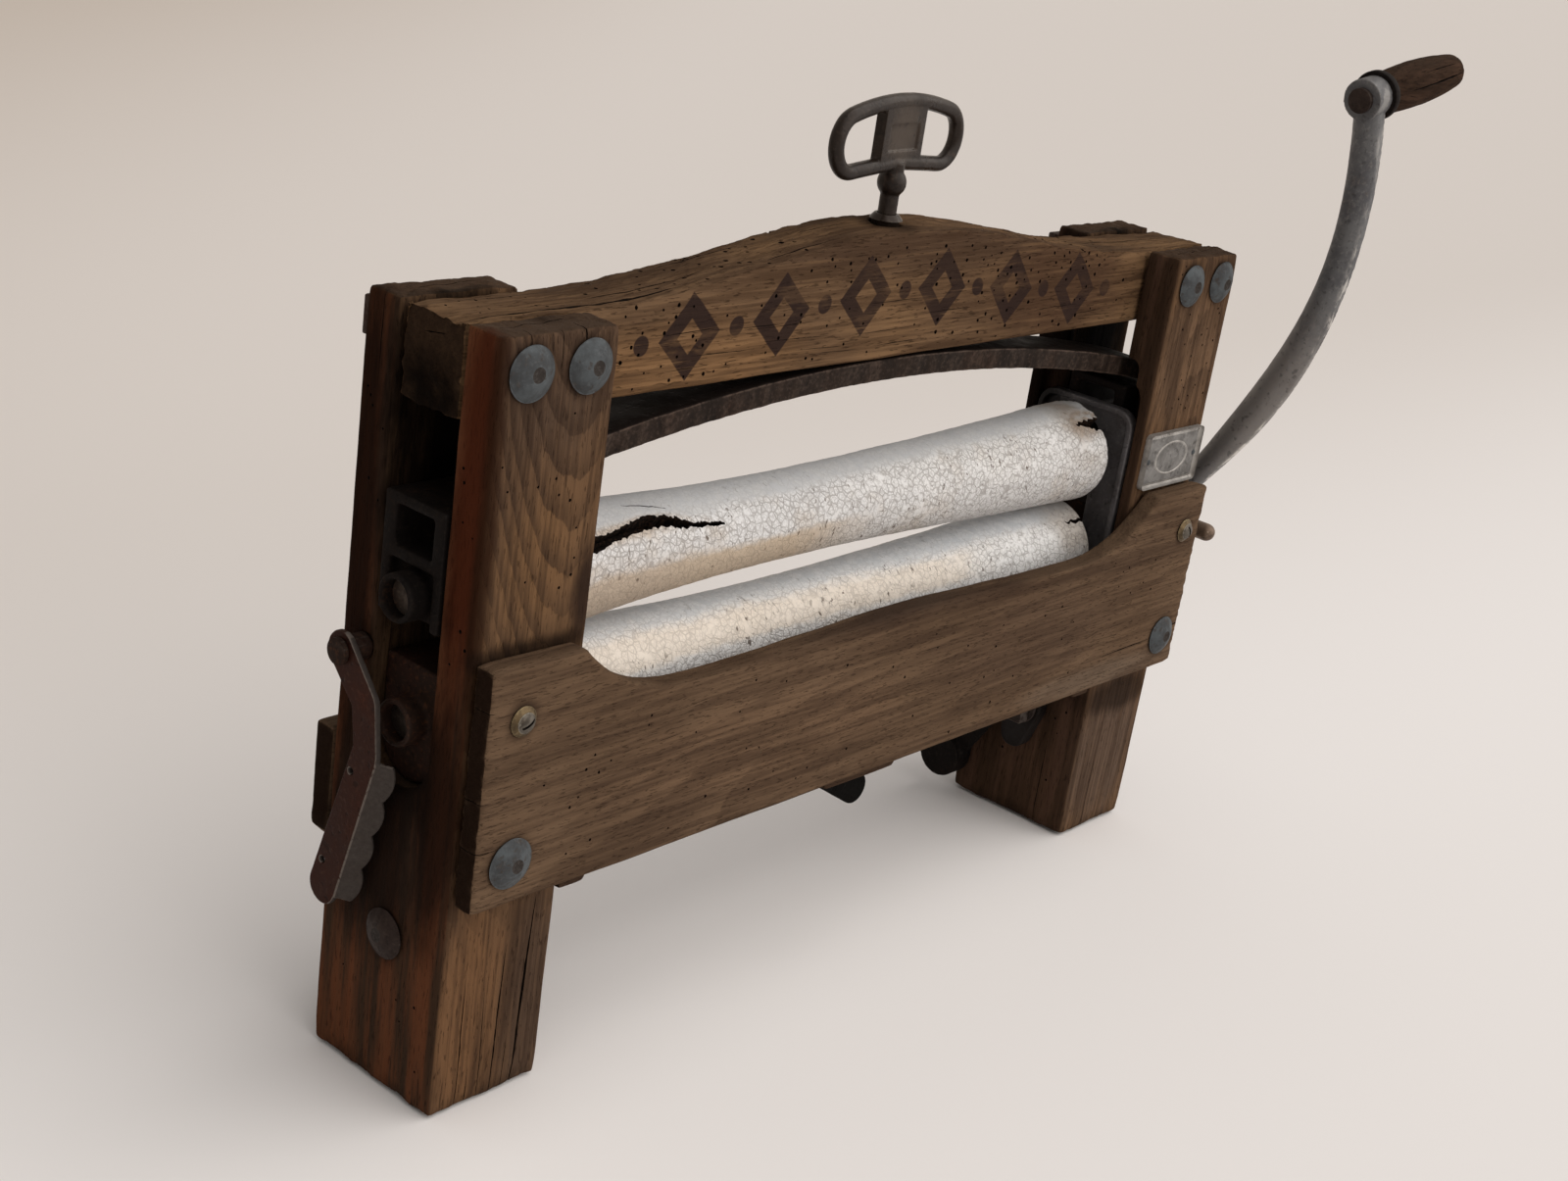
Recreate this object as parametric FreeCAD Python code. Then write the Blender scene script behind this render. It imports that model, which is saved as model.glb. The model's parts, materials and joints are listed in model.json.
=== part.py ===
"""Hand-cranked clothes wringer: two forked wooden posts, a beam, two rubber rollers and iron work.

X runs along the rollers with the crank at +X, Y runs to the back and Z is up. The origin lies on the
ground, midway between the posts and midway through their depth.
"""
import FreeCAD
import Part
import math
import os

Vec = FreeCAD.Vector
axis_x = Vec(1, 0, 0)
axis_y = Vec(0, 1, 0)
axis_z = Vec(0, 0, 1)

# Rollers and their shafts
roller_length = 414.0
roller_end_radius = 28.7
roller_wear = [(-0.54, 5.8), (-0.25, 6.7), (0.29, 4.8)]
roller_end_round = 3.0
roller_nip_gap = 0.6
shaft_diameter = 16.0
shaft_end_inset = 6.0
shaft_running_gap = 0.05

# Posts, each a forked upright
inner_span = 431.0
post_width = 66.0
post_depth = 85.0
post_edge_round = 3.0
slot_width = 39.5
slot_floor = 150.0
seat_to_lower_axis = 30.0

# Shallow housing on the inner face of each post, for the cheek plate
housing_width = 67.0
housing_depth = 8.0
housing_corner = 12.0
housing_below_axis = 38.0
housing_above_axis = 48.0
housing_play = 0.5

# Cheek plate with a raised rim
plate_thickness = 3.5
plate_above_axis = 30.0
plate_rim_width = 4.0
plate_rim_inset = 0.5
plate_slot_play = 2.0

# Bearing blocks
block_play = 0.35
block_end_gap = 0.5
block_above_axis = 42.0
block_below_axis = 12.0
block_window_width = 24.0
block_window_height = 18.0
block_top_bar = 5.0
block_rail = 5.4
block_face_sink = 6.0
block_sink_above_boss = 2.5
boss_radius = 11.0
upper_boss_proud = 7.5
lower_boss_proud = 2.5
lower_block_above_axis = 25.0
lower_block_sink = 8.0
roller_lift = 8.0

# Bow spring
spring_thickness = 12.0
spring_width = 34.0
spring_camber = 25.4
spring_end_lap = 30.0
spring_gap = 0.3

# Beam
beam_end_depth = 43.0
beam_rise = 22.0
beam_play = 0.25
beam_end_inset = 0.5

# Front board
board_thickness = 13.3
board_end_inset = 0.5
front_board_drop = 41.0
front_ear_height = 115.0
front_ear_width = 54.0
front_dip_height = 85.0
front_dip_run = 80.0
front_hump_height = 89.0
front_sweep_shares = [(0.45, 0.11), (0.72, 0.40)]

# Rear board
rear_board_thickness = 13.5
rear_board_drop = 50.0
rear_board_height = 60.0
rear_board_bevel = 8.0

# Cleats and tongue behind the front board
cleat_width = 60.0
cleat_thickness = 10.0
cleat_drop = 12.5
cleat_height = 42.0
cleat_corner = 4.0
corner_cleat_width = 18.5
tongue_radius = 9.1
tongue_length = 36.0
tongue_slant = 31.5
tongue_thickness = 5.0
tongue_tip_x = 10.5
tongue_tip_drop = 12.0

# Dome-headed carriage bolts, nuts and washers
bolt_diameter = 10.0
bolt_hole_gap = 0.25
dome_radius = 12.3
dome_height = 5.0
nut_across_flats = 17.0
nut_height = 8.0
washer_radius = 12.0
washer_thickness = 2.0
bolt_end_proud = 3.0
beam_bolt_spacing = 32.0
beam_bolt_rise = 26.0
board_bolt_from_end = 21.0
board_bolt_rise = 22.0
foot_bolt_height = 78.0
foot_bolt_forward = 3.0

# Front board screws on cup washers
screw_from_end = 20.0
screw_rise = 89.0
screw_head_radius = 5.0
screw_head_height = 3.2
screw_shank_radius = 2.4
screw_length = 28.0
cup_radius = 7.2
cup_height = 1.8

# Tag plate on the right post
tag_width = 58.0
tag_height = 33.0
tag_thickness = 0.8
tag_corner = 3.0
tag_above_ear = 1.0
tag_nail_radius = 1.0
tag_nail_head = 2.2
tag_nail_height = 1.2
tag_nail_length = 8.0
tag_nail_from_edge = 4.5

# Pressure screw with its bush and shoe
screw_stem_radius = 4.75
screw_running_gap = 0.08
screw_travel = 6.0
bush_radius = 6.8
bush_flange_radius = 8.4
bush_flange_height = 3.0
bush_flange_taper = 2.4
bush_above_shoe = 1.0
shoe_radius = 13.0
shoe_thickness = 7.0
shoe_pocket_gap = 0.5
shoe_socket_depth = 3.0
bead_radius = 7.3
bead_clearance = 1.6
neck_radius = 5.2
neck_height = 6.0
handle_half_width = 57.0
handle_bar_radius = 3.9
handle_end_radius = 13.5
handle_height = 29.0
handle_droop = 3.0
handle_plate_width = 36.0
handle_plate_thickness = 6.4
handle_turn = 6.0

# Crank
crank_standoff = 44.0
crank_radius = 284.0
crank_lean = 15.3
crank_run = 80.0
crank_run_lean = 31.5
crank_hub_radius = 15.5
crank_hub_length = 38.0
crank_hub_inboard = 22.0
arm_hub_width = 13.0
arm_middle_width = 19.0
arm_eye_width = 17.0
arm_depth = 11.0
arm_side = 5.0
arm_waist_end = 0.4
arm_belly_end = 1.35
arm_taper_end = 1.7
eye_radius = 11.8
eye_length = 14.0
set_screw_radius = 5.5
set_screw_reach = 42.0

# Crank grip
grip_tilt = 9.0
grip_length = 85.0
grip_base_radius = 11.5
grip_belly_radius = 13.4
grip_belly_share = 0.45
grip_end_radius = 10.2
grip_bore_gap = 0.3
grip_end_gap = 0.4
pin_radius = 4.0
pin_head_radius = 7.0
pin_head_height = 3.0
collar_radius = 14.0
collar_thickness = 5.0
counterbore_radius = 7.2
counterbore_depth = 9.0
pin_button_radius = 6.2
pin_button_height = 4.0

# Side lever on the left post
lever_standoff = 9.0
lever_thickness = 3.0
lever_eye_radius = 9.0
lever_pivot_radius = 4.0
lever_pivot_gap = 0.08
lever_pivot_depth = 36.0
lever_shoulder_radius = 6.0
lever_head_radius = 6.0
lever_head_height = 2.2
lever_side_gap = 0.4
lever_pivot_above_seat = 56.0
lever_pivot_from_slot = 6.0
lever_elbow_forward = 17.25
lever_elbow_drop = 18.0
lever_elbow_radius = 8.3
lever_bend_forward = 20.5
lever_bend_drop = 40.0
lever_bend_radius = 8.0
lever_tip_back = 1.5
lever_tip_drop = 114.0
lever_tip_radius = 9.0
lever_flange_width = 10.6
lever_flange_thickness = 2.5
lever_flange_slant = 45.0
lever_lobe_depth = 2.7
lever_lobes = 4
lever_hole_radius = 1.6
lever_hole_back = 4.5
lever_hole_shares = [0.18, 0.85]

# Clamp paws on the foot bolts
paw_hub_radius = 14.0
paw_tab_radius = 9.0
paw_tab_back = 2.0
paw_tab_drop = 21.0
paw_arm_radius = 8.0
paw_knee_back = 41.0
paw_knee_drop = 20.0
paw_pad_radius = 14.5
paw_pad_back = 48.5
paw_pad_drop = 53.0
paw_thickness = 10.0
paw_pad_thickness = 15.5
paw_side_gap = 0.5

# Levels and stations worked out from the sizes above
over = 5.0
post_inner = inner_span / 2
post_outer = post_inner + post_width
post_middle = post_inner + post_width / 2
post_front = -post_depth / 2
post_back = post_depth / 2
slot_half = slot_width / 2
slot_round_center = slot_floor + slot_half
lower_axis = slot_floor + seat_to_lower_axis
upper_axis = lower_axis + 2 * roller_end_radius + roller_nip_gap
block_top = upper_axis + block_above_axis
spring_end_under = block_top + spring_gap
spring_top = spring_end_under + spring_camber + spring_thickness
beam_under = spring_top + spring_gap
post_top = beam_under + beam_end_depth
beam_crown = post_top + beam_rise
housing_bottom = lower_axis - housing_below_axis
housing_top = upper_axis + housing_above_axis
housing_back = post_inner + housing_depth
block_inner = housing_back + block_end_gap
shaft_radius = shaft_diameter / 2
front_board_bottom = slot_floor - front_board_drop
front_face = post_front - board_thickness
rear_board_bottom = slot_floor - rear_board_drop
rear_face = post_back + rear_board_thickness
bolt_radius = bolt_diameter / 2
bolt_hole_radius = bolt_radius + bolt_hole_gap
board_bolt_x = post_outer - board_bolt_from_end
board_bolt_z = front_board_bottom + board_bolt_rise
beam_bolt_z = beam_under + beam_bolt_rise
screw_x = post_outer - screw_from_end
screw_z = front_board_bottom + screw_rise
lever_pivot_y = slot_half + lever_pivot_from_slot
lever_pivot_z = slot_floor + lever_pivot_above_seat
crank_plane = post_outer + crank_standoff
lean = math.radians(crank_lean)
tilt = math.radians(grip_tilt)
pin_y = -crank_radius * math.sin(lean)
pin_z = lower_axis + crank_radius * math.cos(lean)
grip_axis = Vec(math.cos(tilt), 0, math.sin(tilt))


def box(x0, x1, y0, y1, z0, z1):
    return Part.makeBox(x1 - x0, y1 - y0, z1 - z0, Vec(x0, y0, z0))


def rod(start, direction, radius, length):
    return Part.makeCylinder(radius, length, start, direction)


def mirrored(shape):
    return shape.mirror(Vec(0, 0, 0), axis_x)


def pair(shape):
    return Part.makeCompound([shape, mirrored(shape)])


def fuse(first, *others):
    return first.multiFuse(list(others)).removeSplitter()


def edges_along(shape, direction):
    found = []
    for edge in shape.Edges:
        if len(edge.Vertexes) == 2:
            run = edge.Vertexes[1].Point - edge.Vertexes[0].Point
            if run.cross(direction).Length < 1e-6:
                found.append(edge)
    return found


def rounded_slab(x0, x1, half_width, z0, z1, corner):
    slab = box(x0, x1, -half_width, half_width, z0, z1)
    return slab.makeFillet(corner, edges_along(slab, axis_x))


def arc(start, middle, end):
    return Part.Arc(start, middle, end).toShape()


def line(start, end):
    return Part.LineSegment(start, end).toShape()


def curve(points):
    spline = Part.BSplineCurve()
    spline.interpolate(points)
    return spline.toShape()


def extrude(edges, direction):
    return Part.Face(Part.Wire(edges)).extrude(direction)


def flanks(first, first_radius, second, second_radius, normal):
    """Both straight sides that touch two circles in the plane across normal, each from first to second."""
    run = second - first
    ahead = run * (1 / run.Length)
    aside = normal.cross(ahead)
    lean_back = (first_radius - second_radius) / run.Length
    sides = []
    for sign in (1, -1):
        out = ahead * lean_back + aside * (sign * math.sqrt(1 - lean_back ** 2))
        sides.append((first + out * first_radius, second + out * second_radius))
    return sides


def link_plate(first, first_radius, second, second_radius, normal, thickness):
    """Plate whose outline runs round two circles; it thickens from their plane along normal."""
    near, far = flanks(first, first_radius, second, second_radius, normal)
    ahead = (second - first).normalize()
    outline = [
        line(near[0], near[1]),
        arc(near[1], second + ahead * second_radius, far[1]),
        line(far[1], far[0]),
        arc(far[0], first - ahead * first_radius, near[0]),
    ]
    return extrude(outline, normal * thickness)


def dome_bolt(seat, direction, length):
    """A carriage bolt whose dome sits on the plane through seat; direction points along its shank."""
    cap_radius = (dome_radius ** 2 + dome_height ** 2) / (2 * dome_height)
    ball = Part.makeSphere(cap_radius, seat + direction * (cap_radius - dome_height))
    head = ball.common(rod(seat - direction * dome_height, direction, dome_radius, dome_height))
    return fuse(head, rod(seat, direction, bolt_radius, length))


def square_nut(seat, direction):
    """A square nut bored for the bolt, its face on seat, standing out along direction."""
    half = nut_across_flats / 2
    nut = Part.makeBox(nut_across_flats, nut_across_flats, nut_height, Vec(-half, -half, 0))
    nut = nut.cut(rod(Vec(0, 0, -over), axis_z, bolt_radius, nut_height + 2 * over))
    nut.Placement = FreeCAD.Placement(seat, FreeCAD.Rotation(axis_z, direction))
    return nut


def washer(seat, direction):
    disc = rod(seat, direction, washer_radius, washer_thickness)
    return disc.cut(rod(seat - direction * over, direction, bolt_radius, washer_thickness + 2 * over))


def bolt_hole(x, z, y0, y1):
    return rod(Vec(x, y0 - over, z), axis_y, bolt_hole_radius, y1 - y0 + 2 * over)


def beam_bolt_stations():
    return [post_middle - beam_bolt_spacing / 2, post_middle + beam_bolt_spacing / 2]


def make_post():
    block = box(post_inner, post_outer, post_front, post_back, 0, post_top)
    block = block.makeFillet(post_edge_round, block.Edges)
    length = post_width + 2 * over
    start_x = post_inner - over
    slot = box(start_x, post_outer + over, -slot_half, slot_half, slot_round_center, post_top + over)
    slot_end = rod(Vec(start_x, 0, slot_round_center), axis_x, slot_half, length)
    housing = rounded_slab(
        start_x, housing_back, housing_width / 2, housing_bottom, housing_top, housing_corner
    )
    holes = [bolt_hole(x, beam_bolt_z, post_front, post_back) for x in beam_bolt_stations()]
    holes.append(bolt_hole(board_bolt_x, board_bolt_z, post_front, post_back))
    foot_start = Vec(start_x, -foot_bolt_forward, foot_bolt_height)
    holes.append(rod(foot_start, axis_x, bolt_hole_radius, length))
    screw_start = Vec(screw_x, post_front - over, screw_z)
    screw_depth = screw_length - board_thickness + over
    holes.append(rod(screw_start, axis_y, screw_shank_radius, screw_depth))
    return block.cut([slot, slot_end, housing] + holes)


def drilled_for_lever(post):
    start = Vec(post_outer - lever_pivot_depth, lever_pivot_y, lever_pivot_z)
    return post.cut(rod(start, axis_x, lever_pivot_radius, lever_pivot_depth + over))


def beam_top(x):
    return post_top + beam_rise * math.cos(math.pi * x / (2 * post_inner)) ** 2


def make_beam():
    half = post_outer - beam_end_inset
    arch_stations = 9
    arch = []
    for i in range(arch_stations):
        x = post_inner * (2 * i / (arch_stations - 1) - 1)
        arch.append(Vec(x, -slot_half + beam_play, beam_top(x)))
    y = -slot_half + beam_play
    low_left = Vec(-half, y, beam_under)
    low_right = Vec(half, y, beam_under)
    top_left = Vec(-half, y, post_top)
    top_right = Vec(half, y, post_top)
    outline = [
        line(low_left, low_right),
        line(low_right, top_right),
        line(top_right, arch[-1]),
        curve(arch),
        line(arch[0], top_left),
        line(top_left, low_left),
    ]
    beam = extrude(outline, axis_y * (slot_width - 2 * beam_play))
    pocket_depth = shoe_thickness + bush_above_shoe
    pocket = rod(Vec(0, 0, beam_under - over), axis_z, shoe_radius + shoe_pocket_gap, pocket_depth + over)
    bore = rod(Vec(0, 0, beam_under), axis_z, bush_radius, beam_crown)
    cuts = [pocket, bore]
    for x in beam_bolt_stations():
        cuts.append(bolt_hole(x, beam_bolt_z, -slot_half, slot_half))
        cuts.append(bolt_hole(-x, beam_bolt_z, -slot_half, slot_half))
    return beam.cut(cuts)


def make_front_board():
    half = post_outer - board_end_inset
    ear = half - front_ear_width
    dip = ear - front_dip_run
    low = front_board_bottom
    fall = front_ear_height - front_dip_height

    def at(x, height):
        return Vec(x, front_face, low + height)

    right_sweep = [at(dip, front_dip_height)]
    for run_share, rise_share in front_sweep_shares:
        right_sweep.append(at(dip + run_share * front_dip_run, front_dip_height + rise_share * fall))
    right_sweep.append(at(ear, front_ear_height))
    left_sweep = [Vec(-p.x, p.y, p.z) for p in reversed(right_sweep)]
    sweep = left_sweep + [at(0, front_hump_height)] + right_sweep
    outline = [
        line(at(-half, 0), at(half, 0)),
        line(at(half, 0), at(half, front_ear_height)),
        line(at(half, front_ear_height), right_sweep[-1]),
        curve(sweep),
        line(left_sweep[0], at(-half, front_ear_height)),
        line(at(-half, front_ear_height), at(-half, 0)),
    ]
    board = extrude(outline, axis_y * board_thickness)
    cuts = []
    for side in (-1, 1):
        cuts.append(bolt_hole(side * board_bolt_x, board_bolt_z, front_face, post_front))
        start = Vec(side * screw_x, front_face - over, screw_z)
        cuts.append(rod(start, axis_y, screw_shank_radius, board_thickness + 2 * over))
    return board.cut(cuts)


def make_rear_board():
    half = post_outer - board_end_inset
    top = rear_board_bottom + rear_board_height
    bevel = rear_board_bevel
    corners = [
        Vec(-half + bevel, post_back, rear_board_bottom),
        Vec(half - bevel, post_back, rear_board_bottom),
        Vec(half, post_back, rear_board_bottom + bevel),
        Vec(half, post_back, top),
        Vec(-half, post_back, top),
        Vec(-half, post_back, rear_board_bottom + bevel),
    ]
    outline = [line(corners[i - 1], corners[i]) for i in range(len(corners))]
    board = extrude(outline, axis_y * rear_board_thickness)
    holes = [bolt_hole(side * board_bolt_x, board_bolt_z, post_back, rear_face) for side in (-1, 1)]
    return board.cut(holes)


def cleat_block(left, right):
    low = front_board_bottom - cleat_drop
    return box(left, right, post_front, post_front + cleat_thickness, low, low + cleat_height)


def low_edges(block):
    return [edge for edge in edges_along(block, axis_y) if edge.CenterOfMass.z < front_board_bottom]


def make_cleat():
    block = cleat_block(-cleat_width / 2, cleat_width / 2)
    return block.makeFillet(cleat_corner, low_edges(block))


def make_corner_cleat():
    """A short cleat in the corner between the front board and the post."""
    block = cleat_block(post_inner - corner_cleat_width, post_inner)
    free_edges = [edge for edge in low_edges(block) if edge.CenterOfMass.x < post_inner - cleat_corner]
    return block.makeFillet(cleat_corner, free_edges)


def make_tongue():
    """A round-ended iron tongue on the back of the cleat, its free end slanting out below."""
    slant = math.radians(tongue_slant)
    tip_z = front_board_bottom - cleat_drop - tongue_tip_drop
    tip = Vec(tongue_tip_x, post_front + cleat_thickness, tip_z)
    root = tip + Vec(-math.cos(slant), 0, math.sin(slant)) * tongue_length
    return link_plate(root, tongue_radius, tip, tongue_radius, axis_y, tongue_thickness)


def shaft_bore(z, length):
    start = Vec(block_inner - over, 0, z)
    return rod(start, axis_x, shaft_radius + shaft_running_gap, length + 2 * over)


def make_upper_block():
    half = slot_half - block_play
    low = upper_axis - block_below_axis
    block = box(block_inner, post_outer, -half, half, low, block_top)
    window_top = block_top - block_top_bar
    half_window = block_window_width / 2
    window = box(
        block_inner - over, post_outer + over, -half_window, half_window,
        window_top - block_window_height, window_top,
    )
    inside_rail = half - block_rail
    sunk_top = upper_axis + boss_radius + block_sink_above_boss
    sunk = box(
        post_outer - block_face_sink, post_outer + over, -inside_rail, inside_rail, low - over, sunk_top
    )
    boss_length = post_outer + upper_boss_proud - block_inner
    boss = rod(Vec(block_inner, 0, upper_axis), axis_x, boss_radius, boss_length)
    return fuse(block.cut([window, sunk]), boss).cut(shaft_bore(upper_axis, boss_length))


def make_lower_block():
    half = slot_half - block_play
    top = lower_axis + lower_block_above_axis
    outer = post_outer - lower_block_sink
    body = box(block_inner, outer, -half, half, slot_round_center, top)
    tail = rod(Vec(block_inner, 0, slot_round_center), axis_x, half, outer - block_inner)
    boss_length = post_outer + lower_boss_proud - block_inner
    boss = rod(Vec(block_inner, 0, lower_axis), axis_x, boss_radius, boss_length)
    return fuse(body, tail, boss).cut(shaft_bore(lower_axis, boss_length))


def make_cheek_plate():
    half = housing_width / 2 - housing_play
    low = housing_bottom + housing_play
    top = upper_axis + plate_above_axis
    face = housing_back - plate_thickness
    corner = housing_corner - housing_play
    plate = rounded_slab(post_inner + plate_rim_inset, housing_back, half, low, top, corner)
    tray = rounded_slab(
        post_inner - over, face, half - plate_rim_width, low + plate_rim_width, top - plate_rim_width,
        corner - plate_rim_width,
    )
    slot_radius = shaft_radius + plate_slot_play
    slot_top = upper_axis + roller_lift
    start = post_inner - over
    slot = box(start, housing_back + over, -slot_radius, slot_radius, lower_axis, slot_top)
    reach = housing_depth + 2 * over
    low_end = rod(Vec(start, 0, lower_axis), axis_x, slot_radius, reach)
    high_end = rod(Vec(start, 0, slot_top), axis_x, slot_radius, reach)
    return plate.cut([tray, slot, low_end, high_end])


def make_spring():
    reach = post_inner + spring_end_lap
    y = -spring_width / 2
    under = spring_end_under
    crown = under + spring_camber
    thick = spring_thickness
    outline = [
        arc(Vec(-reach, y, under), Vec(0, y, crown), Vec(reach, y, under)),
        line(Vec(reach, y, under), Vec(reach, y, under + thick)),
        arc(Vec(reach, y, under + thick), Vec(0, y, crown + thick), Vec(-reach, y, under + thick)),
        line(Vec(-reach, y, under + thick), Vec(-reach, y, under)),
    ]
    return extrude(outline, axis_y * spring_width)


def make_roller(z):
    """A rubber sleeve; roller_wear gives the loss of radius at shares of its half length."""
    half = roller_length / 2
    end = roller_end_radius
    rounding = roller_end_round
    chord = half - rounding

    def at(x, radius):
        return Vec(x, 0, radius)

    slant = rounding * (1 - math.sqrt(0.5))
    worn = [at(share * half, end - loss) for share, loss in roller_wear]
    profile = [
        line(at(-half, shaft_radius), at(half, shaft_radius)),
        line(at(half, shaft_radius), at(half, end - rounding)),
        arc(at(half, end - rounding), at(half - slant, end - slant), at(chord, end)),
        curve([at(-chord, end)] + worn + [at(chord, end)]),
        arc(at(-chord, end), at(-half + slant, end - slant), at(-half, end - rounding)),
        line(at(-half, end - rounding), at(-half, shaft_radius)),
    ]
    sleeve = Part.Face(Part.Wire(profile)).revolve(Vec(0, 0, 0), axis_x, 360)
    sleeve.translate(axis_z * z)
    return sleeve


def make_upper_shaft():
    end = post_outer + upper_boss_proud - shaft_end_inset
    return rod(Vec(-end, 0, upper_axis), axis_x, shaft_radius, 2 * end)


def make_lower_shaft():
    start = post_outer + lower_boss_proud - shaft_end_inset
    end = crank_plane + crank_hub_length - crank_hub_inboard
    return rod(Vec(-start, 0, lower_axis), axis_x, shaft_radius, start + end)


def arm_station(share):
    """Middle of the arm and its heading: a straight run leaves the hub, then an arc bends up to the pin.

    share counts 0 to 1 along the straight run and 1 to 2 along the arc.
    """
    hub = Vec(crank_plane, 0, lower_axis)
    run_lean = math.radians(crank_run_lean)
    knee = hub + leaning(run_lean) * crank_run
    if share <= 1:
        return hub + (knee - hub) * share, leaning(run_lean)
    chord = Vec(crank_plane, pin_y, pin_z) - knee
    half_turn = run_lean - math.atan2(-chord.y, chord.z)
    bend_radius = chord.Length / (2 * math.sin(half_turn))
    turned = half_turn * (share - 1)
    point = knee + leaning(run_lean - turned) * (2 * bend_radius * math.sin(turned))
    return point, leaning(run_lean - 2 * turned)


def leaning(angle):
    return Vec(0, -math.sin(angle), math.cos(angle))


def arm_section(share, width):
    """Flat back, low sides and a rounded front, square to the arm."""
    point, heading = arm_station(share)
    across = heading.cross(axis_x)
    half = across * (width / 2)
    back = axis_x * (arm_depth / 2)
    side = back - axis_x * arm_side
    front = axis_x * (-arm_depth / 2)
    edges = [
        line(point - half + back, point + half + back),
        line(point + half + back, point + half + side),
        arc(point + half + side, point + front, point - half + side),
        line(point - half + side, point - half + back),
    ]
    return Part.Wire(edges)


def make_crank():
    stations = [
        (0.0, arm_hub_width),
        (arm_waist_end, arm_hub_width),
        (1.0, arm_middle_width),
        (arm_belly_end, arm_middle_width),
        (arm_taper_end, arm_eye_width),
        (2.0, arm_eye_width),
    ]
    arm = Part.makeLoft([arm_section(share, width) for share, width in stations], True)
    hub_start = crank_plane - crank_hub_inboard
    hub = rod(Vec(hub_start, 0, lower_axis), axis_x, crank_hub_radius, crank_hub_length)
    pin_point = Vec(crank_plane, pin_y, pin_z)
    eye = rod(pin_point - grip_axis * (eye_length / 2), grip_axis, eye_radius, eye_length)
    crank = fuse(arm, hub, eye)
    bore = rod(Vec(hub_start - over, 0, lower_axis), axis_x, shaft_radius, crank_hub_length + 2 * over)
    pin_hole = rod(pin_point - grip_axis * eye_length, grip_axis, pin_radius, 2 * eye_length)
    tapped = rod(Vec(crank_plane, 0, lower_axis), -axis_y, set_screw_radius, crank_hub_radius + over)
    return crank.cut([bore, pin_hole, tapped])


def make_set_screw():
    start = Vec(crank_plane, -shaft_radius, lower_axis)
    shank = rod(start, -axis_y, set_screw_radius, set_screw_reach - shaft_radius - set_screw_radius)
    tip_center = Vec(crank_plane, set_screw_radius - set_screw_reach, lower_axis)
    tip = Part.makeSphere(set_screw_radius, tip_center)
    half = over + shaft_radius
    shaft = rod(Vec(crank_plane - half, 0, lower_axis), axis_x, shaft_radius, 2 * half)
    return fuse(shank, tip).cut(shaft)


def along_pin(distance):
    return Vec(crank_plane, pin_y, pin_z) + grip_axis * distance


def grip_start():
    return eye_length / 2 + collar_thickness + grip_end_gap


def make_pin():
    head = rod(along_pin(-eye_length / 2), -grip_axis, pin_head_radius, pin_head_height)
    floor = grip_start() + grip_length - counterbore_depth + grip_end_gap
    shank = rod(along_pin(-eye_length / 2), grip_axis, pin_radius, eye_length / 2 + floor)
    button = rod(along_pin(floor), grip_axis, pin_button_radius, pin_button_height)
    return fuse(head, shank, button)


def make_collar():
    start = along_pin(eye_length / 2)
    disc = rod(start, grip_axis, collar_radius, collar_thickness)
    return disc.cut(rod(start - grip_axis * over, grip_axis, pin_radius, collar_thickness + 2 * over))


def make_grip():
    bore = pin_radius + grip_bore_gap
    sink = grip_length - counterbore_depth
    base = Vec(0, 0, grip_base_radius)
    belly = Vec(grip_belly_share * grip_length, 0, grip_belly_radius)
    end = Vec(grip_length, 0, grip_end_radius)
    profile = [
        line(Vec(0, 0, bore), base),
        curve([base, belly, end]),
        line(end, Vec(grip_length, 0, counterbore_radius)),
        line(Vec(grip_length, 0, counterbore_radius), Vec(sink, 0, counterbore_radius)),
        line(Vec(sink, 0, counterbore_radius), Vec(sink, 0, bore)),
        line(Vec(sink, 0, bore), Vec(0, 0, bore)),
    ]
    grip = Part.Face(Part.Wire(profile)).revolve(Vec(0, 0, 0), axis_x, 360)
    grip.Placement = FreeCAD.Placement(along_pin(grip_start()), FreeCAD.Rotation(axis_x, grip_axis))
    return grip


def make_bush():
    bottom = beam_under + shoe_thickness + bush_above_shoe
    barrel = rod(Vec(0, 0, bottom), axis_z, bush_radius, beam_crown - bottom)
    flange_top = bush_flange_radius - bush_flange_taper
    flange = Part.makeCone(bush_flange_radius, flange_top, bush_flange_height, Vec(0, 0, beam_crown))
    bore = rod(Vec(0, 0, bottom - over), axis_z, screw_stem_radius + screw_running_gap, beam_crown)
    return fuse(barrel, flange).cut(bore)


def make_shoe():
    disc = rod(Vec(0, 0, beam_under), axis_z, shoe_radius, shoe_thickness)
    floor = beam_under + shoe_thickness - shoe_socket_depth
    return disc.cut(rod(Vec(0, 0, floor), axis_z, screw_stem_radius + screw_running_gap, shoe_thickness))


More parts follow.
